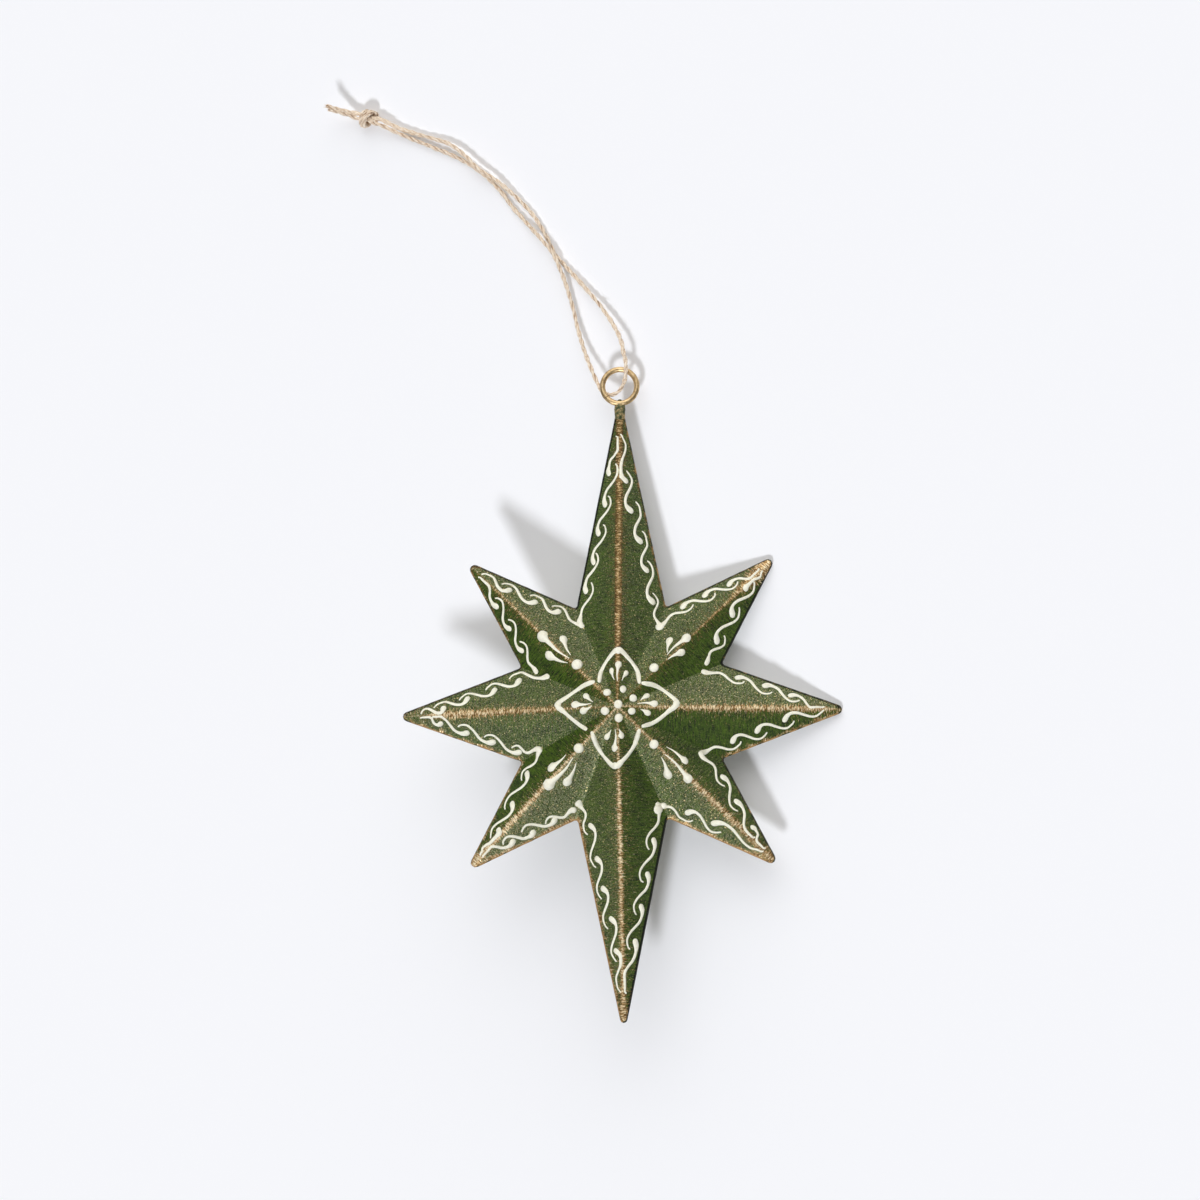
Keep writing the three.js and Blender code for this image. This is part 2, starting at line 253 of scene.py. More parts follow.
def smoothLine(points, step, cuts=12):
    # centripetal spline through the points, cut finely first and then into even steps
    ends = [points[0] * 2 - points[1], *points, points[-1] * 2 - points[-2]]
    fine = []
    for p0, p1, p2, p3 in zip(ends, ends[1:], ends[2:], ends[3:]):
        t1 = max((p1 - p0).length, 1e-6) ** 0.5
        t2 = t1 + max((p2 - p1).length, 1e-6) ** 0.5
        t3 = t2 + max((p3 - p2).length, 1e-6) ** 0.5
        for k in range(cuts):
            t = t1 + (t2 - t1) * k / cuts
            a1 = p0 * (t1 - t) / t1 + p1 * t / t1
            a2 = p1 * (t2 - t) / (t2 - t1) + p2 * (t - t1) / (t2 - t1)
            a3 = p2 * (t3 - t) / (t3 - t2) + p3 * (t - t2) / (t3 - t2)
            b1 = a1 * (t2 - t) / t2 + a2 * t / t2
            b2 = a2 * (t3 - t) / (t3 - t1) + a3 * (t - t1) / (t3 - t1)
            fine.append(b1 * (t2 - t) / (t2 - t1) + b2 * (t - t1) / (t2 - t1))
    fine.append(points[-1])
    lengths = [0.0]
    for a, b in zip(fine, fine[1:]):
        lengths.append(lengths[-1] + (b - a).length)
    count = max(2, round(lengths[-1] / step))
    even, i = [], 0
    for k in range(count + 1):
        want = lengths[-1] * k / count
        while i < len(fine) - 2 and lengths[i + 1] < want:
            i += 1
        share = (want - lengths[i]) / max(lengths[i + 1] - lengths[i], 1e-9)
        even.append(fine[i].lerp(fine[i + 1], min(max(share, 0), 1)))
    return even


def framesAlong(line):
    # a direction and a sideways vector that doesn't spin, at each point
    directions = [(b - a).normalized() for a, b in zip([line[0]] + line[:-1], line[1:] + [line[-1]])]
    side = directions[0].orthogonal().normalized()
    sides = []
    for direction in directions:
        side = (side - direction * side.dot(direction)).normalized()
        sides.append(side)
    return directions, sides


def wallFace(base, i, k, sides):
    # the face between rings i and i + 1 of a tube, past the ring's corner k
    low, high = base + i * sides, base + (i + 1) * sides
    after = (k + 1) % sides
    return low + k, low + after, high + after, high + k


def sweep(points, radii, sides, store, endBulge=0.5):
    # adds a closed round tube to store = (points, faces, uvs); the uv is the turn and the length in mm
    directions, across = framesAlong(points)
    base, run, rings = len(store[0]), 0.0, []
    for i, (p, d, s, r) in enumerate(zip(points, directions, across, radii)):
        if i:
            run += (p - points[i - 1]).length
        rings.append(run)
        up = d.cross(s)
        for k in range(sides):
            a = 2 * math.pi * k / sides
            store[0].append(p + (s * math.cos(a) + up * math.sin(a)) * r)
    for i in range(len(points) - 1):
        for k in range(sides):
            store[1].append(wallFace(base, i, k, sides))
            u0, u1 = k / sides, (k + 1) / sides
            store[2].extend([(u0, rings[i]), (u1, rings[i]), (u1, rings[i + 1]), (u0, rings[i + 1])])
    for i, sign in ((0, -1), (len(points) - 1, 1)):
        store[0].append(points[i] + directions[i] * radii[i] * sign * endBulge)
        tip = len(store[0]) - 1
        for k in range(sides):
            j = (k + 1) % sides
            ring = base + i * sides
            store[1].append((tip, ring + j, ring + k) if sign < 0 else (tip, ring + k, ring + j))
            store[2].extend([(0.5, rings[i]), (j / sides, rings[i]), (k / sides, rings[i])])


def waver(at, seed, wave):
    # smooth noise along a line
    rate, lane = wave
    return noise.noise(Vector((at * rate, seed, lane)))


def layPlies(line, store, seed, thin=1.0):
    # two plies laid round each other along the line; store[3] takes how far out each point lies
    sides = twine["plySides"]
    directions, across = framesAlong(line)
    run = [0.0]
    for a, b in zip(line, line[1:]):
        run.append(run[-1] + (b - a).length)
    for ply in (0, 1):
        centres, radii = [], []
        first = len(store[0])
        for p, d, s, at in zip(line, directions, across, run):
            drift = waver(at, seed, twine["driftWave"]) * twine["noiseGain"]
            angle = 2 * math.pi * at / twine["layLength"] + drift + math.pi * ply
            up = d.cross(s)
            lumps = waver(at, seed + twine["plySeedStep"] * ply, twine["swellWave"])
            swell = 1 + twine["unevenness"] * lumps * twine["noiseGain"]
            share = twine["offsetShare"] + twine["offsetStray"] * waver(at, seed, twine["offsetWave"])
            offset = twine["plyOffset"] * thin * share
            centres.append(p + (s * math.cos(angle) + up * math.sin(angle)) * offset)
            radii.append(twine["plyRadius"] * thin * swell)
        sweep(centres, radii, sides, store)
        for i, point in enumerate(store[0][first:]):
            near = line[min(i // sides, len(line) - 1)]
            store[3].append((point - near).length / (twine["plyOffset"] + twine["plyRadius"]))


def onTable(points):
    # from mm to metres, flattened a little where the soft twine touches the table
    return [Vector((p.x, p.y, max(p.z, twine["leastHeight"]))) * mm for p in points]


loopPoints = ([atKnot(along, across) for along, across in knotShape["legPoints"]]
              + [Vector(p) + routeShift for p in rightLeg]
              + [(starFrame @ (Vector(p) + Vector((0, starPlace["ringCentre"], 0)))) / mm for p in eyePoints]
              + [Vector(p) + routeShift for p in leftLeg]
              + [atKnot(along, -across) for along, across in reversed(knotShape["legPoints"])])
loopLine = smoothLine(loopPoints, twine["lineStep"])
loopStore = ([], [], [], [])
layPlies(loopLine, loopStore, 1.0)
twineLoop = meshPiece("hempLoop", onTable(loopStore[0]), *loopStore[1:])


def knotStrand(shift, startAngle):
    # a strand's wrap: it rises from the core, goes round and dives back in
    points = []
    for k in range(knotShape["steps"] + 1):
        share = k / knotShape["steps"]
        angle = math.radians(startAngle) + share * knotShape["turns"] * 2 * math.pi
        depths = [min(1, left / knotShape["diveShare"]) for left in (share, 1 - share)]
        dive = math.sin(math.pi * depths[0] / 2) * math.sin(math.pi * depths[1] / 2)
        radius = knotShape["coreRadius"] + (knotShape["wrapRadius"] - knotShape["coreRadius"]) * dive
        slant = knotShape["slant"] * math.cos(angle + knotShape["slantPhase"])
        along = knotShape["span"] * (1 - 2 * share) + shift + slant
        points.append(atKnot(along, radius * math.cos(angle), radius * math.sin(angle)))
    return points


knotStore = ([], [], [], [])
for way, angle, seed in zip((1, -1), knotShape["startAngles"], (11.0, 12.0)):
    strand = knotStrand(way * knotShape["strandShift"], angle)
    layPlies(smoothLine(strand, knotShape["lineStep"]), knotStore, seed, thin=knotShape["wrapThin"])
for way, seed in ((1, 14.0), (-1, 15.0)):
    across = way * knotShape["strandShift"]
    core = [atKnot(along, across * aside, up) for along, aside, up in knotShape["coreWeave"]]
    layPlies(smoothLine(core, knotShape["lineStep"]), knotStore, seed, thin=knotShape["coreThin"])
twineKnot = meshPiece("overhandKnot", onTable(knotStore[0]), *knotStore[1:])


# the two cut ends past the knot
tailShape = {
    "across": 0.56,
    "reach": 6.8,
    "rise": 4.6,
    "difference": 0.6,          # how much less the short one reaches and rises
    "clearance": 0.3,           # from the knot's end
    "root": [(1.6, 0.7), (0.0, 1.0), (-1.05, 1.0)],                     # mm along, and a share of across
    "bend": [(0.35, 0.66, 0.18), (0.7, 0.55, 0.58), (1.0, 0.62, 1.0)],  # shares of reach, across and rise
    "frayCount": 16,
    "frayRoot": 0.5,
    "fraySpread": 0.22,
    "frayLength": (0.5, 1.1),
    "frayOpening": 0.28,
    "fraySag": 0.06,
    "frayRadii": [0.06, 0.05, 0.03],
    "fraySides": 5,
}


def tailLine(across, less):
    far = -knotShape["halfLength"] - tailShape["clearance"]
    reach, rise = tailShape["reach"] - less, tailShape["rise"] - less
    points = [atKnot(far + along, across * aside) for along, aside in tailShape["root"]]
    points += [atKnot(far - out * reach, across * aside, up * rise) for out, aside, up in tailShape["bend"]]
    return smoothLine(points, knotShape["lineStep"])


def anyWay(brush, low=-1, high=1):
    # a random vector whose height lies between low and high
    return Vector((brush.uniform(-1, 1), brush.uniform(-1, 1), brush.uniform(low, high)))


def frayEnd(line, store, brush):
    # the cut end opens into short fibres
    end, way = line[-1], (line[-1] - line[-3]).normalized()
    for k in range(tailShape["frayCount"]):
        spread = anyWay(brush)
        start = end - way * tailShape["frayRoot"] + spread * tailShape["fraySpread"]
        out = way * brush.uniform(*tailShape["frayLength"]) + spread * tailShape["frayOpening"]
        tip = start + out * 0.9 - Vector((0, 0, tailShape["fraySag"]))
        sweep([start, start + out * 0.5, tip], tailShape["frayRadii"], tailShape["fraySides"], store)


tails = []
for name, way, less, seed in (("tailLong", 1, 0.0, 21), ("tailShort", -1, tailShape["difference"], 22)):
    line = tailLine(way * tailShape["across"], less)
    store = ([], [], [], [])
    layPlies(line, store, seed)
    frayEnd(line, store, random.Random(seed))
    store[3].extend([1.0] * (len(store[0]) - len(store[3])))
    tails.append(meshPiece(name, onTable(store[0]), *store[1:]))

# single fibres that stand off the twine
strays = {
    "count": 46,
    "seed": 5,
    "endMargin": 8,             # steps of the loop's line that stay free at each end
    "rootRadius": 0.38,
    "length": (0.8, 2.2),
    "middleOut": 0.16,          # how far a fibre's middle and its end stand out, against its length
    "endOut": 0.34,
    "curl": 0.3,
    "curlHeight": 0.3,
    "leastHeight": 0.06,
    "lineStep": 0.4,
    "radius": 0.035,
    "sides": 4,
}
fibreStore = ([], [], [])
brush = random.Random(strays["seed"])
for k in range(strays["count"]):
    i = brush.randrange(strays["endMargin"], len(loopLine) - strays["endMargin"])
    way = (loopLine[i + 1] - loopLine[i]).normalized()
    out = anyWay(brush, 0.0).normalized()
    out = (out - way * out.dot(way)).normalized()
    start = loopLine[i] + out * strays["rootRadius"]
    way = way * brush.choice((-1, 1))
    reach = brush.uniform(*strays["length"])
    curl = anyWay(brush, -strays["curlHeight"], strays["curlHeight"]) * strays["curl"]
    middle = start + way * reach * 0.5 + out * reach * strays["middleOut"]
    end = start + way * reach + out * reach * strays["endOut"] + curl
    end.z = max(end.z, strays["leastHeight"])
    middle.z = max(middle.z, strays["leastHeight"])
    line = smoothLine([start, middle, end], strays["lineStep"])
    sweep(line, [strays["radius"]] * len(line), strays["sides"], fibreStore)
strayFibres = meshPiece("strayFibres", [p * mm for p in fibreStore[0]], *fibreStore[1:],
                        [1.0] * len(fibreStore[0]))

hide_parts("twine_loop")
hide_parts("twine_knot")
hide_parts("twine_tail_long")
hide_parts("twine_tail_short")
for piece in (twineLoop, twineKnot, strayFibres, *tails):
    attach(piece, "hanging_loop")
print("knot, tails and stray fibres made")


# the shells are pressed sheet, a little uneven as hand-worked iron is
quarterCorners = [(52.3, 0.0), (25.3, 25.4), (51.0, 45.0), (26.2, 67.0), (73.8, 90.0)]      # mm and degrees
shellWork = {
    "longestEdge": 2.6,
    "dentHeight": 0.055,
    "dentSpacing": 9.0,
    "fineDents": 2.3,       # how much closer the small dents lie
    "fineShare": 0.5,       # and how high they are against the large ones
    "trueRim": 0.8,         # up to this height the rim stays true for the solder
    "growHeight": 2.0,      # and over this much more the dents grow
    "creaseSmooth": 50,
}


gilding = {    # gold rubbed on each arm's ridge: distance from the middle, half width of the band, both in mm
    "E": [(0, 0.25), (13, 0.55), (20, 0.75), (46, 0.7), (50, 0.15)],
    "NE": [(0, 0.2), (12, 0.3), (22, 0.4), (36, 0.65), (43, 1.7), (51, 1.9)],
    "N": [(0, 0.45), (12, 1.1), (22, 1.5), (60, 1.5), (74, 1.4)],
    "NW": [(0, 0.4), (10, 0.5), (24, 0.5), (40, 0.4), (48, 0.1)],
    "W": [(0, 0.2), (12, 0.4), (17, 0.8), (42.5, 0.9), (45, 0.1)],
    "SW": [(0, 0.3), (18, 0.35), (26, 0.55), (44, 0.7), (51, 1.3)],
    "S": [(0, 0.3), (13, 0.4), (20, 0.55), (60, 0.6), (68, 0.9), (74, 1.3)],
    "SE": [(0, 0.35), (16, 0.4), (24, 0.6), (44, 0.9), (51, 1.5)],
}
goldWidthUnit = 4.0         # mm, what the band's half width is stored against
armNames = list(gilding)
goldCover = {   # how fully the gold covers that band: distance from the middle in mm, and the share
    "E": [(0, 0.5), (20, 0.57), (51, 0.57)],
    "NE": [(0, 0.2), (33, 0.2), (41, 0.5), (51, 0.7)],
    "N": [(0, 0.25), (74, 0.25)],
    "NW": [(0, 0.4), (51, 0.4)],
    "W": [(0, 0.4), (20, 0.45), (34, 0.58), (51, 0.6)],
    "SW": [(0, 0.54), (22, 0.6), (36, 0.69), (51, 0.69)],
    "S": [(0, 0.44), (18, 0.53), (30, 0.6), (48, 0.55), (74, 0.52)],
    "SE": [(0, 0.5), (22, 0.63), (32, 0.6), (44, 0.5), (51, 0.5)],
}
# per facet, from the east arm round to the left: the share of metal flecks, whose pale colour also paints a
# sheen on the facets turned to the window and the key,
facetFlecksAndSheen = [1.25, 0.18, 0.95, 0.6, 0.42, 1.18, 0.1, 0.84, 0.76, 0.1, 1.68, 0.72, 0.24, 0.95, 0.36, 0.12]
# and the share of gold along its rim, where a low share also paints the rim and the seam near-black as shade
rimGoldAndShade = [0.3, 0.2, 0.4, 0.6, 0.12, 0.35, 0.6, 0.35, 0.8, 0.7, 0.9, 1.0, 0.05, 1.0, 0.4, 0.8]


def starCorners():
    # tips and notches in turn, the first quarter mirrored to the left and then downwards
    corners = quarterCorners + [(r, 180 - a) for r, a in quarterCorners[-2::-1]]
    corners += [(r, 360 - a) for r, a in corners[-2:0:-1]]
    return [Vector((r * math.cos(math.radians(a)), r * math.sin(math.radians(a)), 0)) for r, a in corners]


corners = starCorners()
cornerAngles = [math.degrees(math.atan2(c.y, c.x)) % 360 for c in corners]


def facetOf(x, y):
    # the facet's number: it lies between corner k and corner k + 1
    angle = math.degrees(math.atan2(y, x)) % 360
    return sum(angle >= corner for corner in cornerAngles[1:])


def rimLine(k):
    # a facet's rim edge: its notch, its tip, the unit way from notch to tip, and the unit way in
    a, b = corners[k], corners[(k + 1) % len(corners)]
    notch, tip = (b, a) if k % 2 == 0 else (a, b)
    way = (tip - notch).normalized()
    inward = Vector((-way.y, way.x, 0))
    if inward.dot(notch) > 0:
        inward = -inward
    return notch, tip, way, inward


def facetHalfWidth(k, u):
    # plan distance from the rim to the ridge, square to the rim, at u from the notch
    notch, tip, way, inward = rimLine(k)
    ridge = tip.normalized()
    side = Vector((-ridge.y, ridge.x, 0))
    return abs((notch + way * u).dot(side) / inward.dot(side))


def dressShell(nodeName, name, side, seed):
    # a copy of the CAD shell, cut finer and dented very slightly; it keeps the CAD's outline
    shell = copyOf(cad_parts[nodeName], name)
    cutFiner(shell, shellWork["longestEdge"] * mm)
    mesh = shell.data
    level = starFrame.inverted()
    normals = [v.normal.copy() for v in mesh.vertices]
    for v, n in zip(mesh.vertices, normals):
        p = level @ v.co
        calm = min(1, max(0, (abs(p.z) - shellWork["trueRim"]) / shellWork["growHeight"]))
        spread = p / shellWork["dentSpacing"]
        wave = noise.noise(spread + Vector((seed, 0, 0)))
        wave += shellWork["fineShare"] * noise.noise(spread * shellWork["fineDents"] + Vector((0, seed, 0)))
        outside = 1 if (level.to_3x3() @ n).z * side > 0 else -1
        v.co += n * (wave * shellWork["dentHeight"] * calm * mm * outside)
    # the arm map: how far across from the ridge and how far along it a point is, in mm
    mesh.uv_layers.new(name="arm")
    mesh.color_attributes.new("brushworkAndPaintedLight", "FLOAT_COLOR", "CORNER")
    ridge, brushworkAndPaintedLight = mesh.uv_layers["arm"], mesh.color_attributes["brushworkAndPaintedLight"]
    for face in mesh.polygons:
        c = level @ face.center
        k = facetOf(c.x, c.y)
        along = rimLine(k)[1].normalized()
        aside = Vector((-along.y, along.x, 0))
        arm = armNames[(k + 1) // 2 % len(armNames)]
        for i in face.loop_indices:
            p = level @ mesh.vertices[mesh.loops[i].vertex_index].co
            ridge.data[i].uv = (p.xy.dot(aside.xy), p.xy.dot(along.xy))
            outwards = max(0, p.xy.dot(along.xy))
            half, cover = between(gilding[arm], outwards), between(goldCover[arm], outwards)
            # gold band width and cover, the fleck share with its painted sheen, and the rim share with its
            # painted shade
            brushworkAndPaintedLight.data[i].color = (half / goldWidthUnit, cover, facetFlecksAndSheen[k], rimGoldAndShade[k])
    makeActive(shell)
    bpy.ops.object.shade_smooth_by_angle(angle=math.radians(shellWork["creaseSmooth"]))
    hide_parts(nodeName)
    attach(shell, "star")
    print(name, len(mesh.polygons), "faces")
    return shell


frontShell = dressShell("front_shell", "frontShell", 1, 2.0)
rearShell = dressShell("rear_shell", "rearShell", -1, 31.0)


# raised paint: scroll strokes round the rim, four petals and their drops in the middle
paintwork = {
    "tailWidth": 0.48,
    "bodyWidth": 0.7,
    "bulbWidth": 1.42,
    "bead": 1.16,           # tube radius against half the line's width
    "sink": 0.50,           # how deep the tube's middle lies, against its radius
    "overlap": 1.9,         # how far a tail reaches past the next round end
    "outermostTail": 0.82,  # where the first tail starts, as a share of the edge from the notch
    "unevenness": 0.35,     # how far an end strays along the edge, and the whole stroke across it
    "rimMargin": 0.85,      # near the tips the sway closes in, and keeps this far from the rim
    "ridgeMargin": 0.45,    # and this far from the ridge
    "hookBack": 0.1,        # how far a tail's first point lies back towards the tip
    "hookAside": (-0.3, 0.15),          # and how far away from the rim, on even and on odd edges
    "hookRange": (0.3, 1.3),
    "sizeStray": 0.08,
    "turnFrom": 0.35,       # the share of a corner stroke from which it turns to its join
    "widthStray": 0.06,
    "strayRate": 1.7,
    "roundEnd": (28, 52, 72, 86),       # degrees, where a round end has its rings
    "stepLength": 0.42,
    "sides": 9,
    "rayHeight": 40,        # rays fall on the shell from here, and the normal is the mean over calmSpan
    "calmSpan": 0.5,
    "leastFacing": 0.2,
}
# how wide a stroke is along its length: share of the length, and share of a width above
strokeWidths = [
    (0.0, "tailWidth", 0.8), (0.1, "tailWidth", 1.0), (0.3, "bodyWidth", 0.84), (0.6, "bodyWidth", 1.0),
    (0.8, "bodyWidth", 1.1), (0.88, "bulbWidth", 0.82), (0.94, "bulbWidth", 1.0), (1.0, "bulbWidth", 1.0),
]
# each edge's scroll strokes: how many whole ones, how far from the notch the outermost and the innermost one
# have their round end, and the join that the corner stroke runs to, all in star-level mm
rimRows = {
    "E-ene": (3, 18.0, 5.0, (19.2, 8.9)),
    "ene-NE": (3, 18.0, 4.5, (19.9, 11.0)),
    "NE-nne": (3, 16.0, 3.5, (9.2, 19.6)),
    "nne-N": (5, 30.5, 2.0, (9.2, 19.4)),
    "N-nnw": (5, 32.5, 4.5, (-9.5, 20.9)),
    "nnw-NW": (3, 16.0, 3.5, (-8.9, 20.1)),
    "NW-wnw": (3, 15.5, 3.5, (-19.6, 9.7)),
    "wnw-W": (4, 20.5, 1.5, (-16.9, 8.3)),
    "W-wsw": (4, 21.0, 1.5, (-18.9, -8.4)),
    "wsw-SW": (3, 17.0, 2.5, (-18.9, -8.8)),
    "SW-ssw": (3, 16.0, 5.0, (-11.3, -22.4)),
    "ssw-S": (5, 32.0, 3.0, (-9.8, -20.9)),
    "S-sse": (4, 29.5, 6.0, (8.8, -22.2)),
    "sse-SE": (2, 11.0, 4.0, (8.3, -21.6)),
    "SE-ese": (3, 18.0, 4.0, (18.5, -10.4)),
    "ese-E": (3, 16.5, 4.0, (18.5, -10.0)),
}
# a stroke's sway: share of its length, and distance in from the rim in mm
innerSway = [(0.0, 2.35), (0.08, 2.8), (0.2, 3.05), (0.36, 2.65), (0.5, 1.95), (0.64, 1.2), (0.8, 0.95),
             (0.92, 1.1), (1.0, 1.5)]
outerSway = [(0.0, 1.5), (0.1, 1.1), (0.22, 0.85), (0.36, 1.25), (0.5, 2.1), (0.64, 2.95), (0.8, 3.35),
             (0.91, 3.1), (1.0, 2.5)]
# the petals' lines, and the dots with their widths, in star-level mm
petals = [
    [(-4.3, 6.2), (-4.0, 8.6), (-2.2, 11.6), (0.1, 13.4), (2.2, 11.7), (4.3, 8.6), (4.9, 5.8)],
    [(5.8, 5.5), (8.4, 5.1), (11.4, 3.2), (13.4, 0.9), (11.2, -1.2), (8.4, -3.2), (5.7, -4.4)],
    [(-6.0, -5.8), (-5.0, -8.6), (-3.0, -11.6), (-0.8, -13.5), (1.3, -11.8), (3.4, -8.8), (4.8, -5.5)],
    [(-5.7, 6.0), (-8.4, 5.2), (-11.8, 3.0), (-14.1, 1.0), (-12.2, -1.0), (-9.6, -3.2), (-7.5, -4.7)],
]
petalWidths = [(0.0, 0.9), (0.06, 1.1), (0.3, 0.95), (0.46, 1.3), (0.5, 1.5), (0.54, 1.3), (0.7, 0.95),
               (0.94, 1.1), (1.0, 0.85)]
centreDots = [(0.2, 0.5, 1.95), (-2.4, 3.4, 1.8), (1.2, 4.1, 1.75), (3.5, 2.0, 1.85), (3.2, -1.0, 1.75),
              (0.3, -2.6, 1.95), (-2.9, -0.9, 2.05)]
diagonalDots = [(8.2, 9.2, 2.15), (8.1, -8.5, 2.1), (-9.5, 10.3, 2.5), (-9.2, -9.1, 2.3)]
joinDots = [(8.4, -22.6, 2.4), (9.6, -21.8, 1.6), (9.2, 19.5, 2.1), (-18.9, -8.6, 1.7), (18.5, -10.2, 1.6),
            (-9.2, 20.5, 1.3), (-10.0, -21.1, 1.5), (-11.1, -22.5, 1.4), (0.1, 13.2, 1.6), (-14.0, 1.0, 1.6),
            (-0.8, -13.3, 1.5), (13.2, 0.9, 1.4)]
dotShape = {
    "sides": 16,
    "oval": 0.03,
    "height": 0.72,
    "rings": [(1.0, -0.25), (1.0, 0.02), (0.93, 0.17), (0.76, 0.29), (0.5, 0.37), (0.25, 0.40)],
}
drops = [    # from the round end to the point, and the round end's width
    ((15.6, 16.4), (11.2, 12.3), 2.2), ((11.6, 15.9), (11.2, 12.9), 2.0),
    ((14.5, 12.9), (11.4, 11.2), 1.9), ((15.7, -16.3), (10.6, -10.8), 2.1),
    ((14.9, -12.0), (10.9, -9.0), 2.1), ((11.0, -15.3), (9.7, -11.4), 2.3),
    ((-17.8, 17.5), (-11.4, 11.9), 2.6), ((-12.9, 16.7), (-11.1, 12.7), 2.2),
    ((-16.2, 12.9), (-11.8, 10.8), 2.6), ((-16.4, -17.2), (-10.6, -11.2), 2.7),
    ((-15.8, -13.1), (-12.3, -10.4), 2.5), ((-12.2, -16.5), (-9.9, -12.3), 2.4),
    ((0.2, 10.0), (0.0, 6.0), 1.6), ((-1.5, 8.6), (-0.8, 6.4), 1.5),
    ((1.9, 8.0), (1.0, 6.2), 1.4), ((8.4, 0.8), (4.6, 0.7), 1.8),
    ((6.6, 2.7), (5.2, 1.6), 1.6), ((6.8, -1.4), (5.3, -0.6), 1.6),
    ((-0.9, -9.4), (-0.6, -5.2), 1.8), ((-2.7, -6.7), (-1.7, -5.2), 1.6),
    ((0.8, -6.6), (0.3, -5.2), 1.6), ((-10.0, 1.0), (-6.2, 1.0), 1.9),
    ((-7.5, 3.0), (-5.8, 1.4), 1.7), ((-8.1, -0.7), (-6.0, 0.4), 1.7),
]
dropShape = {
    "bow": 0.05,                            # how far a drop bows aside, against its length
    "bends": [(0.3, 0.6), (0.65, 1.0)],     # shares of the length and of the bow
    "headLength": 0.62,                     # against the head's width, so that it is round
    "headMost": 0.6,                        # against the drop's length
    "widths": [0.9, 0.92, 0.42, 0.22],      # at the end, in the head, at the neck and past it
    "pointWidth": 0.18,
}


def shellSurface(shell):
    # finds the place and a calm normal of the painted side, for a plan point in star-level mm
    level = starFrame.inverted()
    mesh = shell.data
    faces = [list(face.vertices) for face in mesh.polygons]
    tree = BVHTree.FromPolygons([level @ v.co for v in mesh.vertices], faces)
    span = paintwork["calmSpan"]

    def hit(x, y):
        return tree.ray_cast(Vector((x, y, paintwork["rayHeight"])), Vector((0, 0, -1)))[:2]

    def find(x, y):
        place, normal = hit(x, y)
        if place is None or place.z < 0:
            return None
        total = Vector()
        for dx, dy in ((span, 0), (-span, 0), (0, span), (0, -span), (0, 0)):
            p, n = hit(x + dx, y + dy)
            if p is not None and n.z > paintwork["leastFacing"]:
                total += n
        return place, total.normalized()
    return find


def strokeInto(store, plan, widths, find):
    # one raised line of paint over the surface, from plan points in star-level mm, with round ends
    line = smoothLine([Vector((x, y, 0)) for x, y in plan], paintwork["stepLength"])
    points, radii = [], []
    for i, p in enumerate(line):
        found = find(p.x, p.y)
        if found is None:
            continue
        place, normal = found
        radius = between(widths, i / (len(line) - 1)) / 2 * paintwork["bead"]
        radius *= 1 + paintwork["widthStray"] * noise.noise(p * paintwork["strayRate"])
        points.append(place - normal * radius * paintwork["sink"])
        radii.append(radius)
    if len(points) < 3:
        return
    head, headWay = points[0], (points[0] - points[1]).normalized()
    foot, footWay = points[-1], (points[-1] - points[-2]).normalized()
    headRadius, footRadius = radii[0], radii[-1]
    for degrees in paintwork["roundEnd"]:
        reach, width = math.sin(math.radians(degrees)), math.cos(math.radians(degrees))
        points.insert(0, head + headWay * headRadius * reach)
        radii.insert(0, headRadius * width)
        points.append(foot + footWay * footRadius * reach)
        radii.append(footRadius * width)
    sweep(points, radii, paintwork["sides"], store)


def dotInto(store, x, y, width, find):
    # a round drop of paint: rings of a low dome, sunk a little in the surface
    found = find(x, y)
    if found is None:
        return
    place, normal = found
    aside = normal.orthogonal().normalized()
    ahead = normal.cross(aside)
    base, sides, rings = len(store[0]), dotShape["sides"], dotShape["rings"]
    for share, height in rings:
        up = normal * height * width * dotShape["height"]
        for k in range(sides):
            a = 2 * math.pi * k / sides
            r = width / 2 * share * (1 + dotShape["oval"] * math.sin(2 * a + x))
            store[0].append(place + (aside * math.cos(a) + ahead * math.sin(a)) * r + up)
    for i in range(len(rings) - 1):
        for k in range(sides):
            store[1].append(wallFace(base, i, k, sides))
            store[2].extend([(0, 0)] * 4)
    store[1].append(tuple(base + (len(rings) - 1) * sides + k for k in range(sides)))
    store[1].append(tuple(base + k for k in reversed(range(sides))))
    store[2].extend([(0, 0)] * 2 * sides)


def dropInto(store, head, point, width, find):
    # a drop of paint: a round head, and a tail that bows a little to its point
    a, b = Vector((*head, 0)), Vector((*point, 0))
    bow = Vector((b.y - a.y, a.x - b.x, 0)) * dropShape["bow"]
    bends = [a.lerp(b, share) + bow * aside for share, aside in dropShape["bends"]]
    neckAt = min(dropShape["headMost"], dropShape["headLength"] * width / (a - b).length)
    places = (0.0, neckAt * 0.35, neckAt, neckAt * 0.5 + 0.5)
    widths = [(at, width * share) for at, share in zip(places, dropShape["widths"])]
    strokeInto(store, [(p.x, p.y) for p in (a, *bends, b)], [*widths, (1.0, dropShape["pointWidth"])], find)


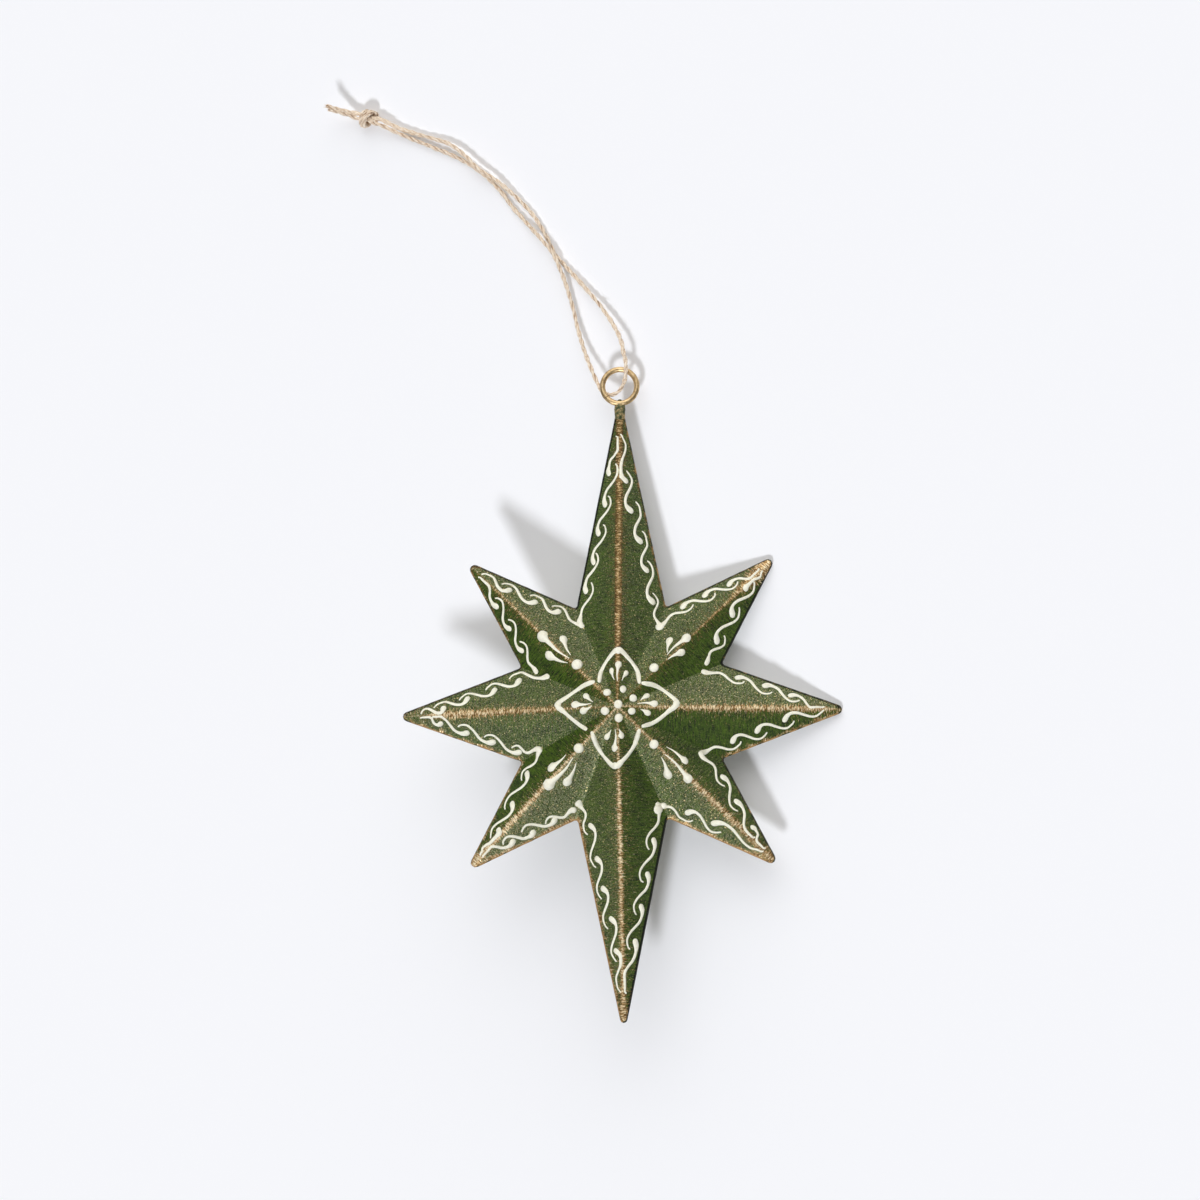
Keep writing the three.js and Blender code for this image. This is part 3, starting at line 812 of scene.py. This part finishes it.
def paintEdge(store, k, row, hand, find):
    # one edge's scroll strokes: the whole ones from the tip inwards, then the one that runs to the join
    notch, tip, way, inward = rimLine(k)
    count, outermost, innermost, join = row
    stray, turnFrom = paintwork["unevenness"], paintwork["turnFrom"]
    goal = Vector((*join, 0)) - notch
    ends = [outermost + (innermost - outermost) * i / (count - 1) for i in range(count)]
    ends = [end + hand.uniform(-1, 1) * stray for end in ends]
    first = (tip - notch).length * paintwork["outermostTail"]
    starts = [first] + [end + paintwork["overlap"] for end in ends]
    for i, (start, end) in enumerate(zip(starts, [*ends, goal.dot(way)])):
        start += hand.uniform(-1, 1) * stray
        lift = hand.uniform(-1, 1) * stray
        plan = []
        for share, inset in outerSway if k % 2 else innerSway:
            u = start + (end - start) * share
            room = facetHalfWidth(k, u) - paintwork["ridgeMargin"]
            v = max(paintwork["rimMargin"], min(inset + lift, room))
            if i == count:
                turned = min(1, max(0, (share - turnFrom) / (1 - turnFrom)))
                v += (goal.dot(inward) - v) * turned * turned * (3 - 2 * turned)
            p = notch + way * u + inward * v
            plan.append((p.x, p.y))
        aside = inward * paintwork["hookAside"][k % 2] * hand.uniform(*paintwork["hookRange"])
        hook = Vector((*plan[0], 0)) + way * paintwork["hookBack"] + aside
        size = 1 + hand.uniform(-paintwork["sizeStray"], paintwork["sizeStray"])
        widths = [(share, paintwork[part] * factor * size) for share, part, factor in strokeWidths]
        strokeInto(store, [(hook.x, hook.y), *plan], widths, find)


def paintSide(name, find, seed):
    hand = random.Random(seed)
    store = ([], [], [])
    for k, row in enumerate(rimRows.values()):
        paintEdge(store, k, row, hand, find)
    for petal in petals:
        strokeInto(store, petal, petalWidths, find)
    for head, point, width in drops:
        dropInto(store, head, point, width, find)
    for x, y, width in centreDots + diagonalDots + joinDots:
        dotInto(store, x, y, width, find)
    piece = meshPiece(name, [starFrame @ p for p in store[0]], store[1], store[2])
    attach(piece, "star")
    print(name, len(store[1]), "faces")
    return piece


frontPaint = paintSide("frontPaint", shellSurface(frontShell), 3)

# the back is painted with the same pattern: a copy turned over about the long arms, worn flat where it rests
rearPaint = copyOf(frontPaint, "rearPaint")
wornTo = 0.01 * mm
rearPaint.data.transform(starFrame @ Matrix.Rotation(math.pi, 4, "Y") @ starFrame.inverted())
for v in rearPaint.data.vertices:
    v.co.z = max(v.co.z, wornTo)
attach(rearPaint, "star")

# the jump ring: a wire section spun round, left open at its split
ringSize = {
    "wireRadius": 0.65,
    "wireSides": 20,
    "radius": 4.0,
    "splitAngle": 218,
    "splitGap": 0.12,
    "steps": 96,
    "mergeWithin": 0.0001,
    "creaseSmooth": 50,
}
split = math.radians(ringSize["splitAngle"])
halfGap = ringSize["splitGap"] / 2 / ringSize["radius"]
bpy.ops.object.select_all(action="DESELECT")
bpy.ops.mesh.primitive_circle_add(vertices=ringSize["wireSides"], radius=ringSize["wireRadius"],
                                  fill_type="NGON", rotation=(math.radians(90), 0, 0),
                                  location=(ringSize["radius"], 0, 0))
ring = bpy.context.object
ring.name = ring.data.name = "jumpRing"
bpy.ops.object.transform_apply(location=True, rotation=True, scale=True)
bpy.ops.object.mode_set(mode="EDIT")
bpy.ops.mesh.select_all(action="SELECT")
bpy.ops.mesh.spin(steps=ringSize["steps"], angle=2 * math.pi - 2 * halfGap, center=(0, 0, 0), axis=(0, 0, 1))
bpy.ops.mesh.select_all(action="SELECT")
bpy.ops.mesh.remove_doubles(threshold=ringSize["mergeWithin"])
bpy.ops.mesh.normals_make_consistent(inside=False)
bpy.ops.object.mode_set(mode="OBJECT")
drawLines = ring.data.uv_layers.new(name="along")    # round the wire and along it, in mm
for face in ring.data.polygons:
    middle = math.atan2(face.center.y, face.center.x)
    for i in face.loop_indices:
        p = ring.data.vertices[ring.data.loops[i].vertex_index].co
        turn = middle + math.remainder(math.atan2(p.y, p.x) - middle, 2 * math.pi)
        across = math.atan2(p.z, math.hypot(p.x, p.y) - ringSize["radius"])
        drawLines.data[i].uv = (abs(across) / math.pi, turn * ringSize["radius"])
ring.data.transform(starFrame @ Matrix.Translation((0, starPlace["ringCentre"], 0))
                    @ Matrix.Rotation(split + halfGap, 4, "Z"))
makeActive(ring)
bpy.ops.object.shade_smooth_by_angle(angle=math.radians(ringSize["creaseSmooth"]))
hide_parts("hanging_ring")
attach(ring, "star")

# the solder that holds the ring: it carries on the arm's taper, and is lumpy
neckSections = [    # along the arm, half width and half thickness, in star-level mm
    (68.4, 1.05, 1.15), (69.1, 1.2, 1.32), (70.2, 1.26, 1.28), (71.0, 1.28, 1.12), (71.7, 1.26, 0.88),
    (72.3, 1.14, 0.6), (72.8, 0.86, 0.5), (73.2, 0.56, 0.4), (73.45, 0.28, 0.22),
]
neckWork = {
    "sides": 20,
    "smoothing": 2,
    "lump": 0.07,
    "lumpRate": 1.5,
}
bpy.ops.object.select_all(action="DESELECT")
bpy.ops.mesh.primitive_circle_add(vertices=neckWork["sides"], radius=1.0, fill_type="NGON",
                                  rotation=(math.radians(90), 0, 0), location=(0, neckSections[0][0], 0))
neck = bpy.context.object
neck.name = neck.data.name = "neckSolder"
bpy.ops.object.transform_apply(location=True, rotation=True, scale=True)
bpy.ops.object.mode_set(mode="EDIT")
bpy.ops.mesh.select_all(action="SELECT")
bpy.ops.transform.resize(value=(neckSections[0][1], 1, neckSections[0][2]),
                         center_override=(0, neckSections[0][0], 0))
for (y0, w0, t0), (y1, w1, t1) in zip(neckSections, neckSections[1:]):
    bpy.ops.mesh.extrude_region_move(TRANSFORM_OT_translate={"value": (0, y1 - y0, 0)})
    bpy.ops.transform.resize(value=(w1 / w0, 1, t1 / t0), center_override=(0, y1, 0))
bpy.ops.mesh.select_all(action="SELECT")
bpy.ops.mesh.normals_make_consistent(inside=False)
bpy.ops.object.mode_set(mode="OBJECT")
smoother = neck.modifiers.new("smoother", "SUBSURF")
smoother.levels = smoother.render_levels = neckWork["smoothing"]
bpy.ops.object.modifier_apply(modifier=smoother.name)
for v in neck.data.vertices:
    lump = 1 + neckWork["lump"] * noise.noise(v.co * neckWork["lumpRate"])
    v.co.x *= lump
    v.co.z *= lump
neck.data.transform(starFrame)
bpy.ops.object.shade_smooth()
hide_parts("ring_solder")
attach(neck, "star")

# the solder bead round the rim
seamWork = {
    "longestEdge": 1.2,
    "swell": 0.10,          # how far out it swells, and the rate of that per mm
    "swellRate": 0.5,
    "fineSwell": 0.05,
    "fineRate": 1.7,
    "heightShare": 1.72,    # against the CAD's bead, so that it closes up to both rims
    "creaseSmooth": 60,
}
seam = copyOf(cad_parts["seam_solder"], "seamBead")
cutFiner(seam, seamWork["longestEdge"] * mm)
# the rim's gold share, which also paints the seam dark as shade where it is low
seam.data.attributes.new("seamGoldAndShade", "FLOAT", "POINT")
seamGoldAndShade = seam.data.attributes["seamGoldAndShade"].data
level = starFrame.inverted()
for v in seam.data.vertices:
    p = level @ v.co
    out = Vector((p.x, p.y, 0)).normalized()
    swell = seamWork["swell"] * noise.noise(p * seamWork["swellRate"])
    swell += seamWork["fineSwell"] * noise.noise(p * seamWork["fineRate"])
    seamGoldAndShade[v.index].value = rimGoldAndShade[facetOf(p.x, p.y)]
    p.z *= seamWork["heightShare"]
    v.co = starFrame @ (p + out * swell)
makeActive(seam)
bpy.ops.object.shade_smooth_by_angle(angle=math.radians(seamWork["creaseSmooth"]))
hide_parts("seam_solder")
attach(seam, "star")
print("ring, solder and seam made")


def levelCoordinates(tree):
    # object coordinates turned into the star's own level frame, in mm
    coordinate = addNode(tree, "TexCoord")
    back = starTurn.transposed()
    shift = -(back @ starPlace["centre"])
    return addNode(tree, "Mapping", {}, {
        "Vector": coordinate.outputs["Object"], "Scale": (1 / mm, 1 / mm, 1 / mm),
        "Rotation": back.to_euler("XYZ"), "Location": shift})


def makeGreenPaint():
    # brushed enamel on pressed iron: deep leaf green with fine brush marks and small metal flecks, whose pale
    # colour also paints a sheen, and gold rubbed on the ridges and the rim with a dry brush, with a painted
    # highlight along the crests and painted near-black shade low on the rim
    look = {
        "deep": "14220a", "leaf": "496314", "bare": "0e110a", "fleckAndSheen": "b3b491", "spark": "e8d49c",
        "umber": "5f4327", "copper": "a9814f", "gold": "d6b27c", "bright": "fff0cc",
        "roughness": 0.58, "goldRoughness": 0.4, "gloss": 0.15,
    }
    material, tree = newMaterial("brushedEnamelGoldRubbed")
    place = levelCoordinates(tree)
    arm = addNode(tree, "UVMap", {"uv_map": "arm"})
    armSplit = addNode(tree, "SeparateXYZ", {}, {0: arm})
    placeSplit = addNode(tree, "SeparateXYZ", {}, {0: place})
    across = addNode(tree, "Math", {"operation": "ABSOLUTE"}, {0: armSplit.outputs[0]})
    height = addNode(tree, "Math", {"operation": "ABSOLUTE"}, {0: placeSplit.outputs[2]})
    brushworkAndPaintedLight = addNode(tree, "Attribute", {"attribute_name": "brushworkAndPaintedLight"})
    shares = addNode(tree, "SeparateColor", {}, {0: brushworkAndPaintedLight.outputs["Color"]})
    goldHalf = addNode(tree, "Math", {"operation": "MULTIPLY"}, {0: shares.outputs[0], 1: goldWidthUnit})
    cover, fleckAndSheenShare, rimGoldAndShadeShare = shares.outputs[1], shares.outputs[2], brushworkAndPaintedLight.outputs["Alpha"]

    # brush marks lie across the arm, 2 mm long and 0.3 mm wide; the grain is 0.4 mm
    turned = addNode(tree, "Mapping", {}, {"Vector": arm, "Scale": (0.5, 3.4, 1.0), "Rotation": (0, 0, 0.1)})
    marks = addNode(tree, "TexNoise", {}, {"Vector": turned, "Scale": 1.0, "Detail": 5.0, "Roughness": 0.62})
    grain = addNode(tree, "TexNoise", {}, {"Vector": place, "Scale": 2.5, "Detail": 3.0, "Roughness": 0.7})
    cloud = addNode(tree, "TexNoise", {}, {"Vector": place, "Scale": 0.16, "Detail": 3.0})
    heavy = addNode(tree, "Math", {"operation": "MULTIPLY"}, {0: marks, 1: 1.35})
    mottled = addNode(tree, "Math", {"operation": "MULTIPLY_ADD"}, {0: grain, 1: 0.65, 2: heavy})
    depth = addNode(tree, "MapRange", {}, {"Value": mottled, "From Min": 0.81, "From Max": 1.19})
    green = addNode(tree, "Mix", {"data_type": "RGBA"}, {
        0: depth, 6: srgb(look["deep"]), 7: srgb(look["leaf"])}).outputs[2]
    thick = addNode(tree, "MapRange", {}, {"Value": cloud, "From Min": 0.4, "From Max": 0.66, "To Max": 0.3})
    green = addNode(tree, "Mix", {"data_type": "RGBA"}, {
        0: thick, 6: green, 7: srgb(look["deep"])}).outputs[2]

    # metal flecks: a fine dust, and sparse larger ones that catch the light; their facet share also paints a
    # pale sheen on the facets turned to the window and the key
    fine = addNode(tree, "TexNoise", {}, {"Vector": place, "Scale": 4.4, "Detail": 2.0, "Roughness": 0.6})
    dust = addNode(tree, "MapRange", {}, {"Value": fine, "From Min": 0.42, "From Max": 0.68, "To Max": 0.75})
    clear = addNode(tree, "MapRange", {}, {
        "Value": grain, "From Min": 0.38, "From Max": 0.62, "To Min": 0.3, "To Max": 1.0})
    coarse = addNode(tree, "TexNoise", {}, {"Vector": place, "Scale": 2.9, "Detail": 1.0})
    spark = addNode(tree, "MapRange", {}, {"Value": coarse, "From Min": 0.66, "From Max": 0.7})
    dust = addNode(tree, "Math", {"operation": "MULTIPLY"}, {0: dust, 1: clear})
    fleckAndSheen = addNode(tree, "Math", {"operation": "MAXIMUM"}, {0: dust, 1: spark})
    fleckAndSheen = addNode(tree, "Math", {"operation": "MULTIPLY", "use_clamp": True}, {0: fleckAndSheen, 1: fleckAndSheenShare})
    fleckTone = addNode(tree, "Mix", {"data_type": "RGBA"}, {
        0: spark, 6: srgb(look["fleckAndSheen"]), 7: srgb(look["spark"])}).outputs[2]
    colour = addNode(tree, "Mix", {"data_type": "RGBA"}, {0: fleckAndSheen, 6: green, 7: fleckTone}).outputs[2]

    # the ridge band: short strokes square to the ridge, worn through to the green in places
    combed = addNode(tree, "Mapping", {}, {"Vector": arm, "Scale": (0.6, 3.4, 1.0)})
    hatch = addNode(tree, "TexNoise", {}, {"Vector": combed, "Scale": 1.0, "Detail": 4.0, "Roughness": 0.65})
    reach = addNode(tree, "MapRange", {}, {
        "Value": hatch, "From Min": 0.3, "From Max": 0.68, "To Min": 0.1, "To Max": 1.9})
    reach = addNode(tree, "Math", {"operation": "MULTIPLY"}, {0: reach, 1: goldHalf})
    inBand = addNode(tree, "Math", {"operation": "SUBTRACT"}, {0: reach, 1: across})
    band = addNode(tree, "MapRange", {"interpolation_type": "SMOOTHSTEP"}, {
        "Value": inBand, "From Min": -0.12, "From Max": 0.3})
    short = addNode(tree, "Mapping", {}, {"Vector": arm, "Scale": (1.1, 3.6, 1.0)})
    rubbed = addNode(tree, "TexNoise", {}, {"Vector": short, "Scale": 1.0, "Detail": 5.0, "Roughness": 0.75})
    rubbed = addNode(tree, "Math", {"operation": "MULTIPLY_ADD"}, {0: cover, 1: 0.5, 2: rubbed})
    rubbed = addNode(tree, "MapRange", {}, {"Value": rubbed, "From Min": 0.64, "From Max": 0.78})
    core = addNode(tree, "Math", {"operation": "MULTIPLY_ADD"}, {0: across, 1: -1.6, 2: goldHalf})
    core = addNode(tree, "MapRange", {}, {"Value": core, "From Min": -0.1, "From Max": 0.35, "To Max": 0.75})
    rubbed = addNode(tree, "Math", {"operation": "MAXIMUM"}, {0: rubbed, 1: core})
    ridge = addNode(tree, "Math", {"operation": "MULTIPLY"}, {0: band, 1: rubbed})

    # gold wiped along the rim in patches, painted near-black shade low on the rim, and ticks where the brush
    # left the ridge
    wiped = addNode(tree, "TexNoise", {}, {"Vector": place, "Scale": 0.6, "Detail": 5.0, "Roughness": 0.7})
    wiped = addNode(tree, "MapRange", {}, {
        "Value": wiped, "From Min": 0.38, "From Max": 0.66, "To Min": 0.2, "To Max": 1.15})
    wiped = addNode(tree, "Math", {"operation": "MULTIPLY"}, {0: wiped, 1: rimGoldAndShadeShare})
    wiped = addNode(tree, "Math", {"operation": "SUBTRACT"}, {0: wiped, 1: height})
    rim = addNode(tree, "MapRange", {}, {"Value": wiped, "From Min": -0.3, "From Max": 0.25})
    # painted shade: the lowest part of the rim turns near-black, reaching higher where the rim's share is
    # small
    bare = addNode(tree, "Math", {"operation": "MULTIPLY_ADD"}, {0: rimGoldAndShadeShare, 1: -0.35, 2: 0.66})
    bare = addNode(tree, "Math", {"operation": "SUBTRACT"}, {0: bare, 1: height})
    bare = addNode(tree, "MapRange", {}, {"Value": bare, "From Min": -0.08, "From Max": 0.05})
    colour = addNode(tree, "Mix", {"data_type": "RGBA"}, {
        0: bare, 6: colour, 7: srgb(look["bare"])}).outputs[2]
    slanted = addNode(tree, "Mapping", {}, {
        "Vector": arm, "Scale": (0.9, 4.2, 1.0), "Rotation": (0, 0, 0.25)})
    tick = addNode(tree, "TexNoise", {}, {"Vector": slanted, "Scale": 1.0, "Detail": 4.0, "Roughness": 0.8})
    near = addNode(tree, "MapRange", {}, {
        "Value": across, "From Min": 0.8, "From Max": 4.5, "To Min": 0.1, "To Max": 0.0})
    tick = addNode(tree, "Math", {"operation": "ADD"}, {0: tick, 1: near})
    tick = addNode(tree, "MapRange", {}, {
        "Value": tick, "From Min": 0.635, "From Max": 0.675, "To Max": 0.85})
    gold = addNode(tree, "Math", {"operation": "MAXIMUM"}, {0: ridge, 1: rim})
    gold = addNode(tree, "Math", {"operation": "MAXIMUM"}, {0: gold, 1: tick})
    tone = addNode(tree, "TexNoise", {"noise_dimensions": "4D"}, {
        "Vector": short, "W": 3.0, "Scale": 1.2, "Detail": 4.0, "Roughness": 0.75})
    tone = addNode(tree, "Math", {"operation": "MULTIPLY_ADD"}, {0: cover, 1: 0.2, 2: tone})
    # painted highlight: the gold's tone is raised along the ridge's crest and lowered beside it
    paintedRidgeHighlight = addNode(tree, "MapRange", {}, {
        "Value": across, "From Max": 0.7, "To Min": 0.022, "To Max": -0.03})
    tone = addNode(tree, "Math", {"operation": "ADD"}, {0: tone, 1: paintedRidgeHighlight})
    goldTone = addNode(tree, "ValToRGB", {}, {0: tone})
    setStops(goldTone.color_ramp, [
        (0.54, look["umber"]), (0.59, look["copper"]), (0.64, look["gold"]), (0.69, look["bright"])])
    colour = addNode(tree, "Mix", {"data_type": "RGBA"}, {0: gold, 6: colour, 7: goldTone}).outputs[2]

    metal = addNode(tree, "Math", {"operation": "MULTIPLY"}, {0: gold, 1: 0.5})
    metal = addNode(tree, "Math", {"operation": "MAXIMUM"}, {0: metal, 1: fleckAndSheen})
    rough = addNode(tree, "MapRange", {}, {
        "Value": grain, "From Min": 0.3, "From Max": 0.7, "To Min": look["roughness"] - 0.05,
        "To Max": look["roughness"] + 0.07})
    rough = addNode(tree, "Math", {"operation": "MULTIPLY_ADD"}, {
        0: gold, 1: look["goldRoughness"] - look["roughness"], 2: rough})
    relief = addNode(tree, "Math", {"operation": "MULTIPLY_ADD"}, {0: gold, 1: 0.5, 2: mottled})
    bump = addNode(tree, "Bump", {}, {"Strength": 0.5, "Distance": 0.00008, "Height": relief})
    shader = addNode(tree, "BsdfPrincipled", {}, {
        "Base Color": colour, "Roughness": rough, "Metallic": metal, "Specular IOR Level": look["gloss"],
        "Normal": bump})
    addNode(tree, "OutputMaterial", {}, {"Surface": shader})
    return material


def makeCreamPaint():
    # thick acrylic outliner: warm white, satin, with soft pulls from the nozzle
    look = {"cream": "fbf8e6", "shade": "ece6cc", "roughness": 0.5}
    material, tree = newMaterial("creamOutlinerPaint")
    place = levelCoordinates(tree)
    mottled = addNode(tree, "TexNoise", {}, {"Vector": place, "Scale": 1.6, "Detail": 3.0}).outputs["Fac"]
    share = addNode(tree, "MapRange", {}, {
        "Value": mottled, "From Min": 0.45, "From Max": 0.75, "To Min": 0.0, "To Max": 0.8})
    colour = addNode(tree, "Mix", {"data_type": "RGBA"}, {
        0: share, 6: srgb(look["cream"]), 7: srgb(look["shade"])}).outputs[2]
    bump = addNode(tree, "Bump", {}, {"Strength": 0.3, "Distance": 0.0001, "Height": mottled})
    shader = addNode(tree, "BsdfPrincipled", {}, {
        "Base Color": colour, "Roughness": look["roughness"], "Normal": bump})
    addNode(tree, "OutputMaterial", {}, {"Surface": shader})
    return material


def makeBrass():
    # drawn brass wire, lightly tarnished: warm yellow with fine draw lines along the wire
    look = {"brass": "dcc194", "dull": "9c7d52", "roughness": 0.4}
    material, tree = newMaterial("drawnBrassWire")
    uv = addNode(tree, "UVMap", {"uv_map": "along"})
    lines = addNode(tree, "Mapping", {}, {"Vector": uv, "Scale": (26.0, 0.35, 1.0)})
    drawn = addNode(tree, "TexNoise", {}, {"Vector": lines, "Scale": 1.0, "Detail": 3.0}).outputs["Fac"]
    place = levelCoordinates(tree)
    tarnish = addNode(tree, "TexNoise", {}, {
        "Vector": place, "Scale": 0.9, "Detail": 4.0, "Roughness": 0.7}).outputs["Fac"]
    share = addNode(tree, "MapRange", {}, {"Value": tarnish, "From Min": 0.45, "From Max": 0.72})
    colour = addNode(tree, "Mix", {"data_type": "RGBA"}, {
        0: share, 6: srgb(look["brass"]), 7: srgb(look["dull"])}).outputs[2]
    rough = addNode(tree, "MapRange", {}, {
        "Value": drawn, "To Min": look["roughness"] - 0.08, "To Max": look["roughness"] + 0.14})
    bump = addNode(tree, "Bump", {}, {"Strength": 0.25, "Distance": 0.00003, "Height": drawn})
    shader = addNode(tree, "BsdfPrincipled", {}, {
        "Base Color": colour, "Metallic": 1.0, "Roughness": rough, "Normal": bump})
    addNode(tree, "OutputMaterial", {}, {"Surface": shader})
    return material


def makePaintedSolder():
    # soft solder painted over: dull grey-green with gold rubbed on its high spots
    look = {"paint": "5d6140", "dark": "2c3216", "gold": "c0a070", "roughness": 0.5}
    material, tree = newMaterial("paintedSolder")
    place = levelCoordinates(tree)
    blotch = addNode(tree, "TexNoise", {}, {
        "Vector": place, "Scale": 1.1, "Detail": 4.0, "Roughness": 0.65}).outputs["Fac"]
    ramp = addNode(tree, "ValToRGB", {}, {"Fac": blotch})
    setStops(ramp.color_ramp, [(0.36, look["dark"]), (0.5, look["paint"]), (0.68, look["gold"])])
    bump = addNode(tree, "Bump", {}, {"Strength": 0.5, "Distance": 0.0002, "Height": blotch})
    shader = addNode(tree, "BsdfPrincipled", {}, {
        "Base Color": ramp.outputs["Color"], "Metallic": 0.15, "Roughness": look["roughness"],
        "Specular IOR Level": 0.25, "Normal": bump})
    addNode(tree, "OutputMaterial", {}, {"Surface": shader})
    return material


def makeRimSolder():
    # the soldered seam: darker in patches and painted dark as shade where the rim's share is low, gold where
    # the brush passed over it
    look = {"dark": "14160c", "green": "2c3814", "gold": "b48c56", "roughness": 0.5}
    material, tree = newMaterial("seamSolderGilded")
    place = levelCoordinates(tree)
    patch = addNode(tree, "TexNoise", {}, {
        "Vector": place, "Scale": 0.5, "Detail": 5.0, "Roughness": 0.7}).outputs["Fac"]
    share = addNode(tree, "Attribute", {"attribute_name": "seamGoldAndShade"}).outputs["Fac"]
    gilt = addNode(tree, "Math", {"operation": "MULTIPLY_ADD"}, {0: share, 1: 0.3, 2: patch})
    gilt = addNode(tree, "Math", {"operation": "SUBTRACT"}, {0: gilt, 1: 0.16})
    ramp = addNode(tree, "ValToRGB", {}, {"Fac": gilt})
    setStops(ramp.color_ramp, [(0.38, look["dark"]), (0.5, look["green"]), (0.6, look["gold"])])
    bump = addNode(tree, "Bump", {}, {"Strength": 0.4, "Distance": 0.0001, "Height": patch})
    shader = addNode(tree, "BsdfPrincipled", {}, {
        "Base Color": ramp.outputs["Color"], "Metallic": 0.2, "Roughness": look["roughness"],
        "Specular IOR Level": 0.25, "Normal": bump})
    addNode(tree, "OutputMaterial", {}, {"Surface": shader})
    return material


def makeHemp():
    # spun hemp: pale straw fibres with warmer shadow between them
    look = {"straw": "fbefdf", "tan": "e5ccae", "brown": "9c785a", "crease": "a07a5c", "roughness": 0.85}
    material, tree = newMaterial("spunHemp")
    uv = addNode(tree, "UVMap", {"uv_map": "along"})
    fine = addNode(tree, "Mapping", {}, {"Vector": uv, "Scale": (7.0, 0.9, 1.0), "Rotation": (0, 0, 0.35)})
    fibres = addNode(tree, "TexNoise", {}, {
        "Vector": fine, "Scale": 1.6, "Detail": 4.0, "Roughness": 0.6}).outputs["Fac"]
    ramp = addNode(tree, "ValToRGB", {}, {"Fac": fibres})
    setStops(ramp.color_ramp, [(0.3, look["brown"]), (0.44, look["tan"]), (0.62, look["straw"])])
    # painted shade: a darker colour in the crease between the plies, from how far out each point lies
    outside = addNode(tree, "Attribute", {"attribute_name": "crease"}).outputs["Fac"]
    outside = addNode(tree, "MapRange", {}, {"Value": outside, "From Min": 0.52, "From Max": 0.76})
    colour = addNode(tree, "Mix", {"data_type": "RGBA"}, {
        0: outside, 6: srgb(look["crease"]), 7: ramp.outputs["Color"]}).outputs[2]
    bump = addNode(tree, "Bump", {}, {"Strength": 0.6, "Distance": 0.0001, "Height": fibres})
    shader = addNode(tree, "BsdfPrincipled", {}, {
        "Base Color": colour, "Roughness": look["roughness"], "Sheen Weight": 0.25,
        "Normal": bump})
    addNode(tree, "OutputMaterial", {}, {"Surface": shader})
    return material


def giveMaterial(pieces, material):
    for piece in pieces:
        piece.data.materials.clear()
        piece.data.materials.append(material)


greenPaint = makeGreenPaint()
creamPaint = makeCreamPaint()
giveMaterial([frontShell, rearShell], greenPaint)
giveMaterial([frontPaint, rearPaint], creamPaint)
giveMaterial([ring], makeBrass())
giveMaterial([neck], makePaintedSolder())
giveMaterial([seam], makeRimSolder())
giveMaterial([twineLoop, twineKnot, strayFibres, *tails], makeHemp())
print("materials made")


# a pale table, a key light from below the picture and a broad window beyond its top
studio = {
    "floor": "f6f6f9",
    "floorSize": 8.0,
    "floorRoughness": 0.9,
    "floorLift": 0.12,
    "keyStrength": 2.0,
    "keyAngle": 9.0,          # degrees, for the soft edge of the shadows
    "keyColour": (0.97, 1.0, 1.05),
    "keyTravel": Vector((0.0995, 0.9537, -1.0)),
    "aroundLevel": 0.07,
    "aroundColour": (1.0, 0.992, 0.975, 1),
    "windowLevel": 2.75,
    "windowWay": Vector((0.08, 0.80, 0.60)),
    "windowSpread": 5.0,
}
bpy.ops.object.select_all(action="DESELECT")
bpy.ops.mesh.primitive_plane_add(size=studio["floorSize"], location=(0, 0, 0))
floor = bpy.context.object
floor.name = floor.data.name = "paleTable"
material, tree = newMaterial("paleTable")
shader = addNode(tree, "BsdfPrincipled", {}, {
    "Base Color": srgb(studio["floor"]), "Roughness": studio["floorRoughness"], "Specular IOR Level": 0.0})
# the paper-white ground of the picture: a small share of plain white where the table is seen or mirrored
seen = addNode(tree, "LightPath")
lift = addNode(tree, "Math", {"operation": "MAXIMUM"}, {
    0: seen.outputs["Is Camera Ray"], 1: seen.outputs["Is Glossy Ray"]})
lift = addNode(tree, "Math", {"operation": "MAXIMUM"}, {0: lift, 1: seen.outputs["Is Transmission Ray"]})
lift = addNode(tree, "Math", {"operation": "MULTIPLY"}, {0: lift, 1: studio["floorLift"]})
white = addNode(tree, "Emission", {}, {"Color": (1, 1, 1, 1), "Strength": 1.0})
lifted = addNode(tree, "MixShader", {}, {0: lift, 1: shader, 2: white})
addNode(tree, "OutputMaterial", {}, {"Surface": lifted})
giveMaterial([floor], material)

key = bpy.data.objects.new("keyLight", bpy.data.lights.new("keyLight", "SUN"))
key.data.energy = studio["keyStrength"]
key.data.angle = math.radians(studio["keyAngle"])
key.data.color = studio["keyColour"]
key.rotation_mode = "QUATERNION"
key.rotation_quaternion = studio["keyTravel"].to_track_quat("-Z", "Y")
bpy.context.scene.collection.objects.link(key)

world = bpy.data.worlds.new("studio")
bpy.context.scene.world = world
world.use_nodes = True
tree = world.node_tree
tree.nodes.clear()
way = addNode(tree, "TexCoord").outputs["Generated"]
facing = addNode(tree, "VectorMath", {"operation": "DOT_PRODUCT"}, {
    0: way, 1: studio["windowWay"].normalized()}).outputs["Value"]
facing = addNode(tree, "Math", {"operation": "MAXIMUM"}, {0: facing, 1: 0.0})
window = addNode(tree, "Math", {"operation": "POWER"}, {0: facing, 1: studio["windowSpread"]})
strength = addNode(tree, "Math", {"operation": "MULTIPLY_ADD"}, {
    0: window, 1: studio["windowLevel"], 2: studio["aroundLevel"]})
sky = addNode(tree, "Background", {}, {"Color": studio["aroundColour"], "Strength": strength})
addNode(tree, "OutputWorld", {}, {"Surface": sky})

bpy.context.scene.view_settings.view_transform = "Standard"
print("floor and light set")
